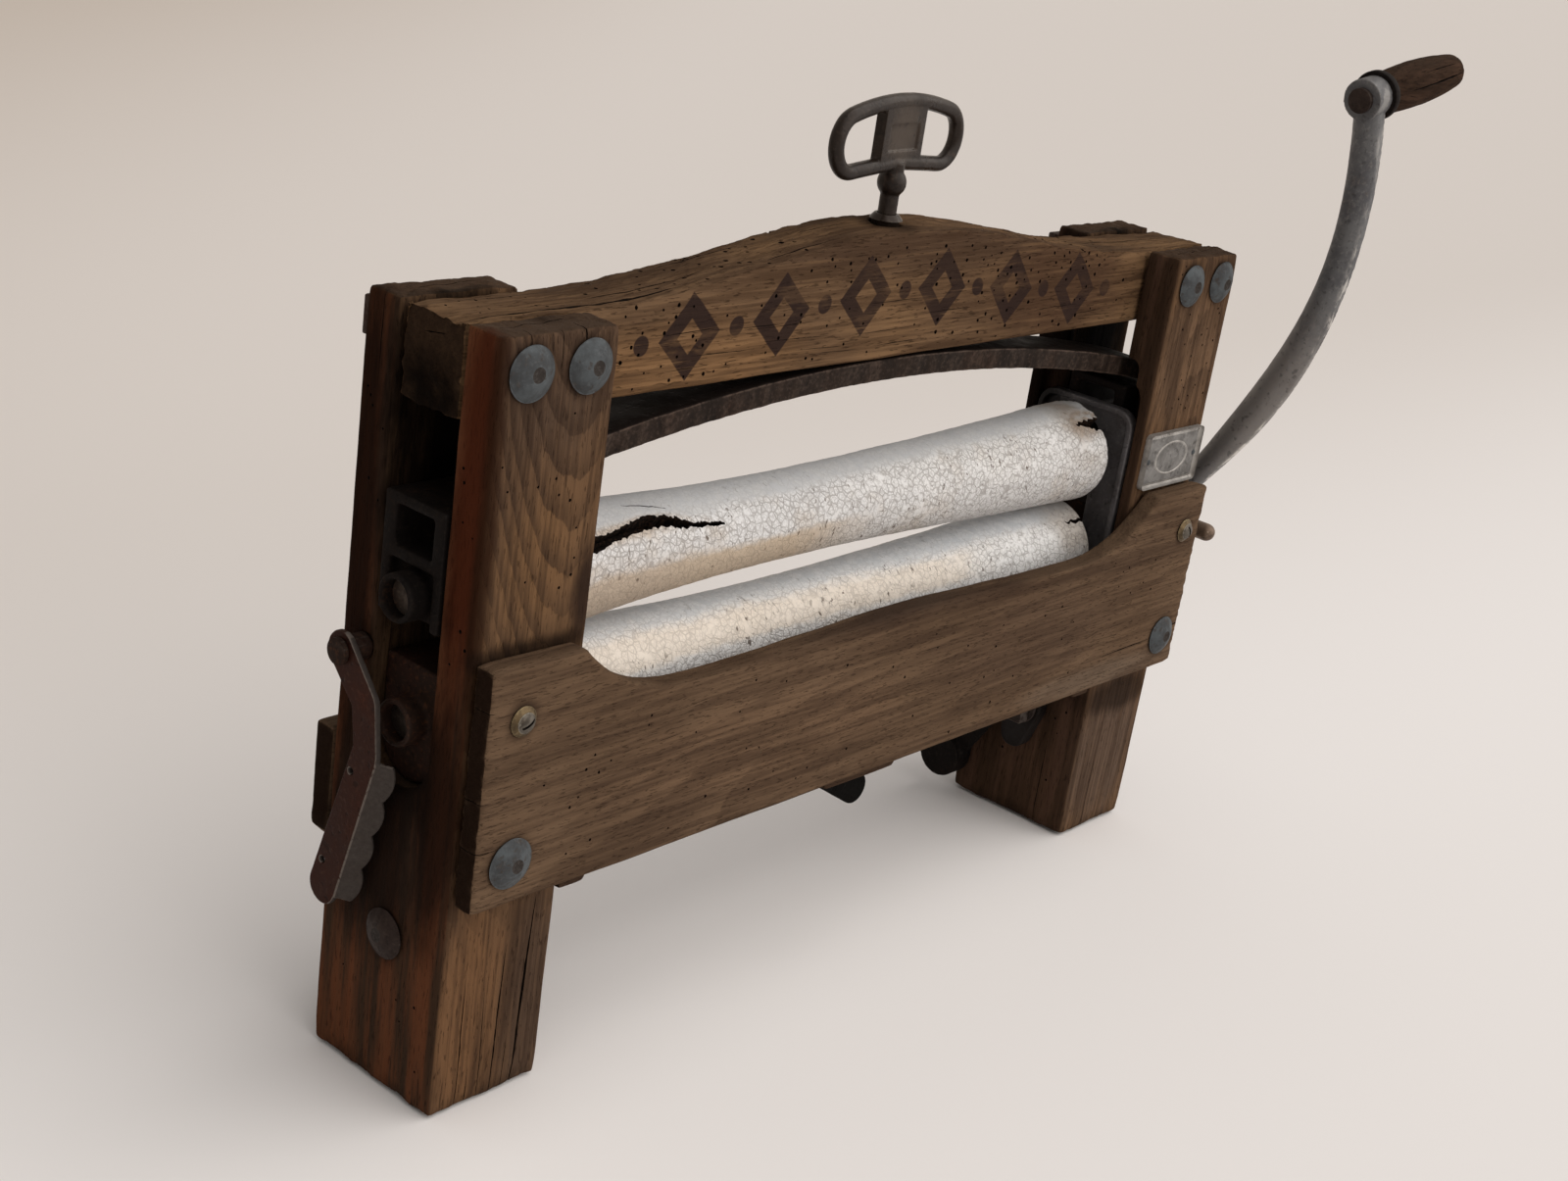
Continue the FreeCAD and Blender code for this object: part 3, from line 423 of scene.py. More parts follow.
def timber(name, **look):
    look = SimpleNamespace(**{**timberUsual, **look})
    finish = newFinish(name)
    grain = "XYZ".index(look.grain)
    seed = look.seed

    def drawn(share, *location):  # drawn out along the grain
        scale = [1.0, 1.0, 1.0]
        scale[grain] = share
        return finish.mapped(location or (0, 0, 0), scale=scale)

    moved = Euler(look.lean).to_matrix() @ Vector(look.pith)
    flat = [1.0, 1.0, 1.0]
    flat[grain] = 0.0
    out = finish.mapped(-moved, look.lean).vector("MULTIPLY", flat).vector("LENGTH", output="Value")
    out = out + drawn(0.25, seed, 0.2, 0.5).noise(22, 3.0, 0.5) * look.wander
    out = out + drawn(0.08, 0.4, seed, 0.1).noise(210, 3.0, 0.6) * 0.0022
    ring = (out / look.spacing).op("FRACT")
    late = ring.band(0.15, 0.93) * ring.band(1.0, 0.95)
    if look.plainBelow:  # straight grain near the floor
        late = late * finish.coords.part("Z").band(look.plainBelow, look.plainBelow + 0.05, 0.15, 1.0)
    streaks = drawn(0.06, 0.8, seed, 0.3).noise(95, 4.0, 0.6)
    fibres = drawn(0.03).noise(520, 5.0, 0.65)
    pores = drawn(0.13, 0.3, 0.1, seed).noise(look.poreScale, 2.0, 0.5).band(0.60, 0.69)
    blots = drawn(0.4, 0.7, 0.3, seed).noise(17, 4.0, 0.6, 0.6)
    broad = finish.mapped((seed, 0.9, 0.4)).noise(5.5)
    ragged = drawn(0.3, 0.2, 0.6, seed).noise(60, 4.0, 0.65)
    colour = finish.zones(broad.band(0.38, 0.64).mix(look.mid, look.pale), look.zones, ragged)
    colour = (late * blots.band(0.66, 0.34, 0.35, 1.0) * look.ringShow).mix(colour, look.late)
    colour = streaks.band(0.48, 0.68, 0.0, 0.55).mix(colour, look.dark)
    colour = fibres.band(0.44, 0.64, 0.0, 0.5).mix(colour, look.dark)
    colour = fibres.band(0.50, 0.30, 0.0, 0.32).mix(colour, look.pale)
    colour = blots.band(0.54, 0.72, 0.0, look.stain).mix(colour, look.stainTint)
    # faces toward the given axis take another tone; on the posts this is a reddish stain, also darkened as painted
    # shade
    for axis, shade, show in look.sides:
        toward = abs(finish.facing(axis)).band(0.55, 0.85, 0.0, show)
        colour = toward.mix(colour, streaks.band(0.40, 0.62).mix(shade, look.dark))
    colour = abs(finish.facing(look.grain)).band(0.70, 0.92, 0.0, look.endShow).mix(colour, look.endTint)
    colour = (pores * 0.5).mix(colour, look.pore)
    colour = (finish.edges(0.51, 0.58) * ragged.band(0.35, 0.6) * 0.45).mix(colour, look.rubTint)
    # up-facing faces take a dust tone that also darkens the strongly lit tops: dust and painted shade
    dustyAndShaded = finish.facing("Z").band(0.5, 0.95) * blots.band(0.62, 0.38) * look.dust
    # the last patches: dark marks, and painted shade in slots, under the beam and behind parts
    colour = finish.zones(dustyAndShaded.mix(colour, look.dustTint), look.grime, ragged)
    if look.paint:
        colour = look.paint(finish, colour, broad, fibres, ragged)
    height = late * 0.25 + fibres * 0.9 + streaks * 0.5 - pores * 0.8
    return finish.close(colour, blots.band(0.3, 0.7, look.roughLow, 0.82), (height, 0.6, 0.0009), specular=0.01)


def lozengeRow(finish, colour, broad, fibres, ragged):  # a faded row of plain lozenges and dots on the beam's front
    row = SimpleNamespace(pitch=0.060, start=-0.180, stop=0.180, middle=0.3405, halfHigh=0.0200, halfWide=0.0195,
                          rise=0.012, dot=0.0046)
    along = finish.coords.part("X")
    wide = abs((((along - row.start) / row.pitch).op("FRACT") - 0.5) * row.pitch)
    high = abs(finish.coords.part("Z") - row.middle - abs(along).band(0.20, 0.0) * row.rise)
    reach = wide / row.halfWide + high / row.halfHigh + ragged * 0.10
    gap = abs(wide - 0.5 * row.pitch).op("POWER", 2.0) + high.op("POWER", 2.0)
    dots = gap.band((1.08 * row.dot) ** 2, (0.92 * row.dot) ** 2)
    shape = (reach.band(1.06, 1.02) * reach.band(0.44, 0.48)).op("MAXIMUM", dots)
    shape = shape * along.band(row.start - 0.008, row.start - 0.006) * along.band(row.stop + 0.008, row.stop + 0.006)
    shape = shape * finish.facing("Y").band(-0.6, -0.8)
    worn = broad.band(0.72, 0.40, 0.55, 0.95) * fibres.band(0.30, 0.44, 0.5, 1.0) * ragged.band(0.66, 0.50, 0.55, 1.0)
    return (shape * worn).mix(colour, (45, 34, 31))


# near black inside the splits, worm holes and screw slots: painted shade
deepShadeWood = shadeAndRustTint("deepShadeWood", (15, 10, 7), (36, 25, 18))
# black is painted shade in slots, under the beam and behind parts; the dark brown marks bolts, the foot and edges, and
# is painted shade below the board
black, dirtAndShade = (8, 6, 5), (26, 18, 14)


def ringed(x, y, z, reach, shade):  # a dark ring round a bolt or screw head on both sides of the frame
    return [((side * x, y, z), (reach, 0.01, reach), shade, 0.85) for side in (-1, 1)]


# painted shade: black inside a post's slot
def slotShade(side):
    return [((side * 0.250, 0.0, 0.25), (0.046, 0.034, 0.17), black, 0.97),
            ((side * 0.250, 0.012, 0.30), (0.06, 0.02, 0.10), black, 0.95)]


def postMarks(side):  # round the beam's bolts and at the foot
    marks = [((side * x, -postFace, 0.344), (0.0145, 0.01, 0.0145), (40, 30, 25), 0.85) for x in (0.2325, 0.2645)]
    return marks + [((side * 0.2485, 0.0, -0.002), (0.05, 0.06, 0.014), dirtAndShade, 0.8)]


# sides: the posts' side faces take a reddish stain that is also painted shade
postLook = dict(
    grain="Z", pith=(-0.239, -0.024, 0.36), lean=(-0.27, 0.03, 0), spacing=0.0046, wander=0.011, mid=(90, 68, 51),
    pale=(109, 82, 59), dark=(53, 39, 30), late=(55, 42, 34), pore=(28, 18, 13), stainTint=(58, 44, 35),
    rubTint=(82, 62, 46), dustTint=(72, 57, 45), endTint=(56, 44, 36), seed=0.17, stain=0.55, ringShow=0.75,
    roughLow=0.55, sides=[("X", (96, 56, 36), 0.85)], plainBelow=0.08)
leftPostLook = {
    **postLook,
    "zones": [((-0.245, -postFace, 0.345), (0.05, 0.02, 0.045), (74, 59, 49), 0.8),
              ((-0.250, -postFace, 0.262), (0.026, 0.02, 0.035), (112, 83, 57), 0.75),
              ((-0.262, -postFace, 0.045), (0.03, 0.02, 0.07), (114, 82, 56), 0.75),
              ((-0.226, -postFace, 0.045), (0.022, 0.02, 0.07), (72, 57, 47), 0.8)],
    # painted shade: the black on the slot's opening and inside the slot, and the dark strip on the front-left arris;
    # the rails of the left face take a dark reddish stain deepened by painted shade; the rest darken round the bolts,
    # below and at the top of the slot, near the inner edge, at the foot and above the board
    "grime": [((-postOuter, -0.033, 0.29), (0.010, 0.012, 0.11), (64, 28, 15), 0.85),
              ((-postOuter, -0.031, 0.150), (0.010, 0.018, 0.075), (27, 15, 10), 0.88),
              ((-postOuter, -postFace, 0.26), (0.009, 0.007, 0.17), (40, 24, 15), 0.85),
              ((-postOuter, 0.034, 0.26), (0.012, 0.016, 0.16), (26, 14, 9), 0.92),
              ((-postOuter, 0.0, 0.165), (0.006, 0.030, 0.050), black, 0.95),
              *slotShade(-1),
              ((-postOuter, 0.010, 0.115), (0.006, 0.036, 0.06), dirtAndShade, 0.9),
              ((-postOuter, 0.0, 0.345), (0.006, 0.020, 0.02), dirtAndShade, 0.7),
              ((-0.2190, -postFace, 0.243), (0.012, 0.012, 0.026), (46, 34, 28), 0.9),
              ((-postOuter, -0.003, 0.078), (0.008, 0.0150, 0.0150), dirtAndShade, 0.9),
              *postMarks(-1),
              ((-0.2485, -postFace, 0.222), (0.05, 0.01, 0.008), dirtAndShade, 0.8)]}
rightPostLook = {
    **postLook, "pith": (0.262, 0.02, 0.30), "lean": (0.16, 0.05, 0), "spacing": 0.0056, "seed": 0.61,
    # the right post's side faces are darker: stain and painted shade
    "sides": [("X", (73, 53, 43), 0.85)],
    "zones": [((0.25, -postFace, 0.30), (0.05, 0.02, 0.05), (112, 88, 69), 0.75),
              ((0.245, -postFace, 0.05), (0.05, 0.02, 0.06), (88, 74, 65), 0.75)],
    # painted shade: black inside the slot, on the inner face between beam and roller and on the rear limb's inner face;
    # the rest darken round the bolts, at the foot and just below the board
    "grime": [*slotShade(1),
              ((postInner, 0.0, 0.28), (0.010, 0.030, 0.05), black, 0.8),
              ((postInner, 0.033, 0.29), (0.012, 0.022, 0.10), black, 0.9),
              *postMarks(1),
              ((0.2485, -postFace, 0.090), (0.05, 0.03, 0.014), dirtAndShade, 0.7)]}
beamLook = dict(
    grain="X", pith=(0.05, 0.045, 0.30), lean=(0, 0.05, 0.02), spacing=0.0052, wander=0.013, mid=(102, 79, 59),
    pale=(130, 100, 71), dark=(60, 43, 31), late=(64, 46, 33), pore=(34, 23, 16), stainTint=(68, 51, 39),
    rubTint=(88, 68, 51), dustTint=(58, 43, 32), dust=0.75, endTint=(36, 26, 20), endShow=0.9, seed=0.43, stain=0.55,
    ringShow=0.5, paint=lozengeRow,
    zones=[((0.03, -beamFace, 0.372), (0.14, 0.02, 0.018), (72, 56, 45), 0.7),
           ((-0.15, -beamFace, 0.328), (0.09, 0.02, 0.024), (132, 99, 68), 0.8),
           ((0.14, -beamFace, 0.345), (0.09, 0.02, 0.035), (70, 50, 38), 0.8),
           ((0.0, -beamFace, 0.374), (0.20, 0.012, 0.010), (76, 58, 45), 0.7)],
    # painted shade: black along the beam's underside and on its left end inside the post's slot; a darker spot sits on
    # the crown round the screw
    grime=[((0.0, 0.0, 0.316), (0.40, 0.022, 0.004), black, 0.95),
           ((0.0, 0.0, 0.384), (0.020, 0.020, 0.008), dirtAndShade, 0.8),
           ((-0.2820, 0.0, 0.325), (0.006, 0.03, 0.022), black, 0.9)])
boardLook = dict(
    grain="X", pith=(0.0, 0.02, 0.10), lean=(0, 0.02, 0.10), spacing=0.0075, wander=0.022, mid=(94, 74, 57),
    pale=(109, 87, 68), dark=(62, 47, 37), late=(68, 52, 41), pore=(36, 25, 18), stainTint=(62, 47, 37),
    rubTint=(94, 75, 58), dustTint=(78, 63, 50), endTint=(26, 16, 11), endShow=0.95, seed=0.71, stain=0.5,
    ringShow=0.45, poreScale=1500)
frontBoardLook = {
    **boardLook,
    "zones": [((0.02, boardFront, 0.198), (0.15, 0.02, 0.012), (54, 40, 32), 0.7),
              ((-0.10, boardFront, 0.15), (0.12, 0.02, 0.03), (112, 88, 68), 0.7),
              ((0.20, boardFront, 0.118), (0.09, 0.02, 0.010), (104, 88, 74), 0.75),
              ((0.12, boardFront, 0.160), (0.10, 0.02, 0.030), (82, 64, 52), 0.5)],
    "grime": [((0.0, boardFront, 0.205), (0.16, 0.02, 0.015), (58, 45, 37), 0.7),
              *ringed(0.2605, boardFront, 0.131, 0.0145, (44, 33, 27)),
              *ringed(0.2615, boardFront, 0.198, 0.0100, (46, 34, 27)),
              ((0.0, -0.049, 0.106), (0.32, 0.02, 0.006), dirtAndShade, 0.8)]}
cleatWood = timber("cleatWood", **{**boardLook, "seed": 0.93, "mid": (58, 44, 35), "pale": (70, 54, 43)})
woodOf = {
    "left_post": timber("postWoodLeft", **leftPostLook),
    "right_post": timber("postWoodRight", **rightPostLook),
    "top_beam": timber("beamWood", **beamLook),
    "front_board": timber("boardWood", **frontBoardLook),
    "rear_board": timber("rearBoardWood", **{**boardLook, "seed": 0.27, "pith": (0.0, 0.03, 0.18)}),
    "centre_cleat": cleatWood,
    "corner_cleats": cleatWood,
}
print("timber finishes made")


# wooden frame: the CAD form with worn arrises, open splits, worm holes and frayed ends

timberWear = {"voxel": 1.6 * mm, "arris": 1.8 * mm, "rounds": 3, "broad": 0.8 * mm, "grain": 0.6 * mm}


def alongGrain(grain, across, along):
    stretch = [across, across, across]
    stretch["XYZ".index(grain)] = along
    return stretch


def wornTimber(node, grain, frays=(), gouges=()):
    piece = copyNode(node, node.replace("_", "") + "Worn")
    roundArris(piece, timberWear["arris"])
    soften(piece, timberWear["voxel"], timberWear["rounds"])
    ripple(piece, 0.045, timberWear["broad"])
    ripple(piece, 0.02, timberWear["grain"], alongGrain(grain, 0.5, 6.0))
    for where, size, strength, pull in frays:  # ends and tops that have lost fibres
        ripple(piece, size, strength * mm, alongGrain(grain, 0.4, pull), contrast=1.8, where=where)
    coat(piece, woodOf[node])
    if gouges:
        bites = Cutter("bites", woodOf[node])
        for number, (point, reach) in enumerate(gouges):
            bites.gouge(point, reach, 700 + number)
        cutAway(piece, bites.make())
    return piece


def finishTimber(piece, node, cutter):
    cutAway(piece, cutter.make())
    smoothBy(piece, 42)
    standFor(piece, node)


def endsOf(*levels):  # the ends of a post: level, reach and strength
    return [(lambda p, z=z, reach=reach: near(p.z, z, reach), 0.02, strength, 2.0) for z, reach, strength in levels]


leftPost = wornTimber("left_post", "Z", endsOf((postTop, 0.012, 1.2), (0.0, 0.012, 1.2)))
wear = Cutter("leftPostSplits", deepShadeWood)
wear.splits(front, -postFace,
            (-0.2659, 0.066, -0.2651, -0.004, 0.9, 12, 11, 0.12), (-0.2434, 0.080, -0.2452, -0.004, 1.1, 14, 12, 0.12),
            (-0.2286, 0.100, -0.2326, -0.004, 1.7, 18, 13, 0.12), (-0.2540, 0.060, -0.2522, -0.004, 0.6, 8, 14, 0.12),
            (-0.2600, 0.022, -0.2596, -0.004, 0.7, 8, 15, 0.12), (-0.2375, 0.030, -0.2382, -0.004, 0.6, 8, 16, 0.12),
            (-0.2352, 0.350, -0.2362, 0.366, 1.1, 12, 31, 0.1), (-0.2648, 0.350, -0.2655, 0.365, 0.7, 9, 32, 0.1),
            (-0.2480, 0.340, -0.2478, 0.366, 0.5, 6, 35, 0.1))
wear.splits(left, -postOuter,
            (0.030, 0.365, 0.0305, 0.318, 0.8, 8, 33, 0.1), (-0.0335, 0.020, -0.034, -0.003, 0.7, 8, 34, 0.1))
wear.splits(up, postTop,
            (-0.274, -0.031, -0.225, -0.026, 1.0, 6, 36, 0.4), (-0.268, 0.030, -0.222, 0.034, 1.0, 6, 37, 0.4))
wear.holes(front, -postFace, (-0.278, 0.232, 0.058, 0.095, 12, 41, (0.6, 0.95)))
wear.holes(left, -postOuter, (-0.038, 0.215, 0.015, 0.12, 7, 42), (0.024, 0.220, 0.015, 0.12, 6, 43))
wear.holes(rear, postFace, (-0.276, 0.02, 0.055, 0.07, 8, 44))
wear.holes(left, -postOuter, (-0.036, 0.02, 0.07, 0.04, 5, 45))
finishTimber(leftPost, "left_post", wear)

rightPost = wornTimber("right_post", "Z", endsOf((postTop, 0.014, 1.6), (0.0, 0.010, 1.2)))
cove = {"low": (0.2095, -0.0300, 0.150), "high": (0.2380, -0.0150, 0.2985), "round": 6 * mm}  # below the spring
coveLow, coveHigh = Vector(cove["low"]), Vector(cove["high"])
hollow = block((coveLow + coveHigh) / 2, coveHigh - coveLow)
pickEdges(hollow, lambda a, b: max(a.y, b.y) < coveLow.y + 0.1 * mm and min(a.z, b.z) > coveHigh.z - 0.1 * mm)
bpy.ops.mesh.bevel(offset=cove["round"], segments=6)
endEdit()
coat(hollow, woodOf["right_post"])
cutAway(rightPost, hollow)
wear = Cutter("rightPostSplits", deepShadeWood)
wear.splits(front, -postFace,
            (0.2500, 0.330, 0.2492, 0.268, 0.6, 6, 51, 0.15), (0.2380, 0.05, 0.2388, -0.003, 0.7, 8, 52, 0.1))
wear.splits(left, postInner, (-0.020, 0.06, -0.0205, -0.003, 0.8, 8, 53, 0.1))
wear.splits(right, postOuter, (0.010, 0.07, 0.0105, -0.003, 0.9, 10, 54, 0.1))
wear.splits(rear, postFace, (0.2455, 0.09, 0.2462, 0.02, 0.7, 8, 55, 0.1))
wear.splits(up, postTop, (0.222, -0.032, 0.275, -0.028, 1.0, 6, 56, 0.4))
wear.holes(front, -postFace, (0.222, 0.268, 0.055, 0.060, 22, 61, (0.6, 0.95)), (0.220, 0.345, 0.008, 0.012, 4, 62))
wear.holes(right, postOuter, (-0.036, 0.1, 0.016, 0.24, 9, 63))
wear.holes(left, postInner, (-0.03, 0.03, 0.05, 0.05, 6, 64))
finishTimber(rightPost, "right_post", wear)
print("posts made")


def crown(x):  # level of the beam's top
    return postTop + (0.022 * math.cos(math.pi * x / 0.431) ** 2 if abs(x) < postInner else 0.0)


def topEdge(p):
    return near(p.z, crown(p.x), 0.006) * max(near(p.y, -beamFace, 0.012), near(p.y, beamFace, 0.012), 0.35)


beam = wornTimber("top_beam", "X", frays=[
    (topEdge, 0.012, 2.6, 1.6), (lambda p: near(p.z, crown(p.x), 0.008), 0.03, 1.6, 3.0),
    (lambda p: near(p.x, -0.281, 0.012), 0.015, 2.0, 1.0)], gouges=[
    ((-0.281, -0.017, 0.362), (0.016, 0.006, 0.004)), ((-0.268, -0.004, 0.363), (0.020, 0.004, 0.0035)),
    ((-0.196, -0.0195, 0.3625), (0.020, 0.004, 0.004)), ((-0.155, -0.0200, 0.3695), (0.016, 0.004, 0.004)),
    ((-0.118, -0.0195, 0.374), (0.013, 0.0035, 0.003)), ((0.075, -0.0200, 0.379), (0.015, 0.0035, 0.003)),
    ((0.128, -0.0200, 0.372), (0.018, 0.004, 0.004)), ((0.176, -0.0195, 0.365), (0.014, 0.004, 0.004))])
wear = Cutter("beamSplits", deepShadeWood)
wear.checks(-beamFace, count=18, seed=7, first=70, deep=4, x=(-0.19, 0.16), z=(0.325, 0.352), long=(0.014, 0.05),
            wide=(0.4, 0.7))
topSplits = [(-0.278, -0.150, -0.013, 2.2, 10), (-0.205, -0.120, -0.004, 1.6, 8), (-0.10, -0.045, -0.012, 1.3, 6),
             (-0.06, -0.025, 0.006, 1.2, 6), (0.03, 0.095, -0.008, 1.3, 6), (0.09, 0.160, 0.009, 1.4, 8),
             (0.12, 0.270, 0.002, 1.4, 8), (-0.26, -0.215, 0.009, 1.2, 6), (-0.15, -0.09, 0.011, 1.3, 6)]
for number, (x0, x1, y, wide, deep) in enumerate(topSplits):
    path = [(x0 + (x1 - x0) * i / 6, y + (i % 2) * 0.8 * mm, crown(x0 + (x1 - x0) * i / 6)) for i in range(7)]
    wear.split(path, up, wide * mm, deep * mm, 90 + number, 0.2 * mm)
wear.splits(left, -0.281, (-0.008, 0.352, 0.006, 0.350, 0.8, 10, 97, 0.1))
wear.holes(front, -beamFace, (-0.205, 0.322, 0.405, 0.036, 90, 101, (0.65, 1.25)),
           (-0.08, 0.358, 0.16, 0.016, 26, 102, (0.65, 1.25)), (0.06, 0.350, 0.11, 0.014, 20, 107, (0.65, 1.25)))
wear.holes(up, 0.374, (-0.205, -0.017, 0.14, 0.034, 44, 103, (0.8, 1.6), 0.02),
           (0.05, -0.017, 0.15, 0.034, 48, 104, (0.8, 1.6), 0.02))
wear.holes(up, postTop, (-0.278, -0.015, 0.055, 0.03, 14, 105))
wear.holes(rear, beamFace, (-0.2, 0.324, 0.4, 0.034, 30, 106))
finishTimber(beam, "top_beam", wear)
print("beam made")

frontBoard = wornTimber("front_board", "X", [(lambda p: near(abs(p.x), 0.281, 0.008), 0.012, 1.2, 1.0)])
wear = Cutter("frontBoardSplits", deepShadeWood)
wear.splits(left, -0.281,
            (-postFace, 0.2042, -0.0565, 0.2046, 0.8, 8, 110, 0), (-postFace, 0.1625, -0.0565, 0.1629, 0.8, 10, 111, 0),
            (-postFace, 0.1395, -0.0565, 0.1399, 0.8, 16, 112, 0))
wear.splits(front, boardFront,
            (-0.280, 0.1392, -0.269, 0.1396, 0.7, 4, 120, 0), (0.196, 0.1299, 0.250, 0.1306, 1.0, 5, 121, 0.15),
            (0.268, 0.1346, 0.283, 0.1357, 1.1, 7, 122, 0.1), (0.200, 0.2218, 0.214, 0.2245, 0.9, 5, 123, 0.2),
            (0.196, 0.2060, 0.212, 0.2005, 0.5, 3, 124, 0.3))
wear.checks(boardFront, count=12, seed=17, first=160, deep=3, x=(-0.20, 0.20), z=(0.114, 0.185),
            long=(0.012, 0.035), wide=(0.3, 0.5))
wear.holes(front, boardFront, (-0.255, 0.116, 0.42, 0.070, 44, 131, (0.6, 0.95)),
           (0.19, 0.150, 0.06, 0.04, 8, 132, (0.5, 0.8)))
wear.holes(rear, -postFace, (-0.2, 0.145, 0.4, 0.040, 18, 133))
finishTimber(frontBoard, "front_board", wear)

rearBoard = wornTimber("rear_board", "X")
wear = Cutter("rearBoardSplits", deepShadeWood)
wear.splits(rear, 0.056,
            (-0.284, 0.135, -0.19, 0.1362, 1.0, 6, 141, 0.15), (0.17, 0.118, 0.284, 0.1165, 1.0, 6, 142, 0.15))
wear.holes(rear, 0.056, (-0.24, 0.108, 0.48, 0.045, 46, 143))
finishTimber(rearBoard, "rear_board", wear)

cleat = wornTimber("centre_cleat", "X")
wear = Cutter("cleatSplits", deepShadeWood)
wear.holes(rear, -0.0325, (-0.026, 0.118, 0.052, 0.016, 4, 151))
finishTimber(cleat, "centre_cleat", wear)

cornerCleats = wornTimber("corner_cleats", "Z")
wear = Cutter("cornerCleatSplits", deepShadeWood)
wear.splits(rear, -0.0325,
            (-0.206, 0.140, -0.2055, 0.112, 0.6, 4, 154, 0.1), (0.206, 0.140, 0.2055, 0.112, 0.6, 4, 156, 0.1))
finishTimber(cornerCleats, "corner_cleats", wear)
print("boards made")


# rubber rollers: crazed skin, a long tear in the upper one and a split end

def rubber(name, **look):
    look = SimpleNamespace(**{"zones": [], **look})
    finish = newFinish(name)
    coords = finish.coords
    forward, upward = finish.facing("Y"), finish.facing("Z")
    along = coords.part("X")
    bent = coords.vector("ADD", coords.noise(320, 3.0, 0.5, 0.0, "Color").vector("MULTIPLY", (0.0016, 0.0016, 0.0016)))
    patch = coords.noise(26, 4.0, 0.6)
    tone = finish.mapped((0.2, 0.6, 0.1), scale=(0.35, 1, 1)).noise(13, 4.0, 0.6)
    flecks = finish.mapped((0.5, 0.2, 0.8)).noise(150, 3.0, 0.6)
    lines = []
    for scale, wide, share in ((255.0, 0.00046, 1.0), (560.0, 0.00026, 0.55)):
        cell = finish.add("TexVoronoi", {"Vector": bent, "Scale": scale}, "Distance", feature="DISTANCE_TO_EDGE")
        lines.append(cell.band(wide * scale, 0.2 * wide * scale, 0.0, share))
    cracks = lines[0].op("MAXIMUM", lines[1]) * flecks.band(look.crazeLow, look.crazeLow + 0.2)
    ticks = finish.mapped((0.1, 0.4, 0.9), scale=(1.0, 0.5, 0.5)).noise(420, 2.0, 0.5)
    ticks = ticks.band(look.tickLow, look.tickLow + 0.04) * patch.band(0.36, 0.56)
    low, high, share = look.beige  # a beige belt where the skin has rubbed through
    level = upward + (tone - 0.5) * 0.5
    stop = along + (patch - 0.5) * 0.12
    belt = level.band(low - 0.12, low + 0.10) * level.band(high + 0.12, high - 0.10)
    belt = belt * forward.band(0.1, -0.2) * stop.band(look.beltEnd + 0.05, look.beltEnd - 0.02) * share
    colour = belt.mix(tone.band(0.40, 0.62).mix(look.pale, look.cool), look.warm)
    worn = along.band(-0.120, -0.165) * upward.band(0.35, -0.1)
    colour = (worn * look.endShow).mix(colour, look.endTint)
    colour = patch.band(0.52, 0.72, 0.0, 0.35).mix(colour, look.warm)
    colour = finish.zones(colour, look.zones, flecks)
    top = level.band(look.greyFrom - 0.04, look.greyFrom + 0.14) * look.greyShow
    colour = top.mix(colour, flecks.band(0.35, 0.65).mix(look.grey, look.greySecond))
    smear = along.band(0.155, 0.192) * patch.band(0.35, 0.6) * upward.band(-0.2, 0.5)
    colour = (smear * look.endDirt).mix(colour, (140, 120, 98))
    lined = cracks * top.less(0.85) * belt.less(0.5)
    colour = (lined * look.crackShow).mix(colour, look.crackTint)
    colour = (ticks * top.less(0.8) * 0.85).mix(colour, (84, 68, 54))
    rise = patch * 0.4 - lined * 0.9 + coords.noise(800, 3.0, 0.6) * 0.25 - ticks * 0.4
    return finish.close(colour, patch.band(0.3, 0.7, 0.55, 0.75), (rise, 0.55, 0.0006), specular=0.3)


upperRubber = rubber(
    "upperRubber", pale=(230, 226, 222), cool=(220, 217, 215), warm=(192, 171, 146), grey=(190, 189, 189),
    greySecond=(198, 196, 194), greyFrom=0.80, greyShow=0.92, beige=(-0.95, 0.08, 0.92), beltEnd=-0.03, crazeLow=0.28,
    tickLow=0.66, endDirt=0.7, endShow=0.65, endTint=(184, 166, 148), crackShow=0.56, crackTint=(108, 97, 88),
    zones=[((-0.172, -0.022, 0.258), (0.045, 0.012, 0.0075), (176, 154, 130), 0.7),
           ((0.191, -0.013, 0.262), (0.023, 0.020, 0.012), (147, 127, 107), 0.85)])
# paler than the upper roller: whiter rubber, plus painted light that offsets the shade of the board and the upper
# roller
lowerRubber = rubber(
    "lowerRubber", pale=(248, 244, 239), cool=(241, 238, 235), warm=(238, 222, 203), grey=(191, 194, 197),
    greySecond=(212, 213, 214), greyFrom=0.86, greyShow=0.85, beige=(0.30, 0.84, 0.75), beltEnd=0.08, crazeLow=0.30,
    tickLow=0.645, endDirt=0.45, endShow=0.2, endTint=(198, 182, 164), crackShow=0.5, crackTint=(110, 98, 88))
# near black inside the tears: painted shade
deepShadeRubber = shadeAndRustTint("deepShadeRubber", (20, 14, 11), (58, 41, 31))

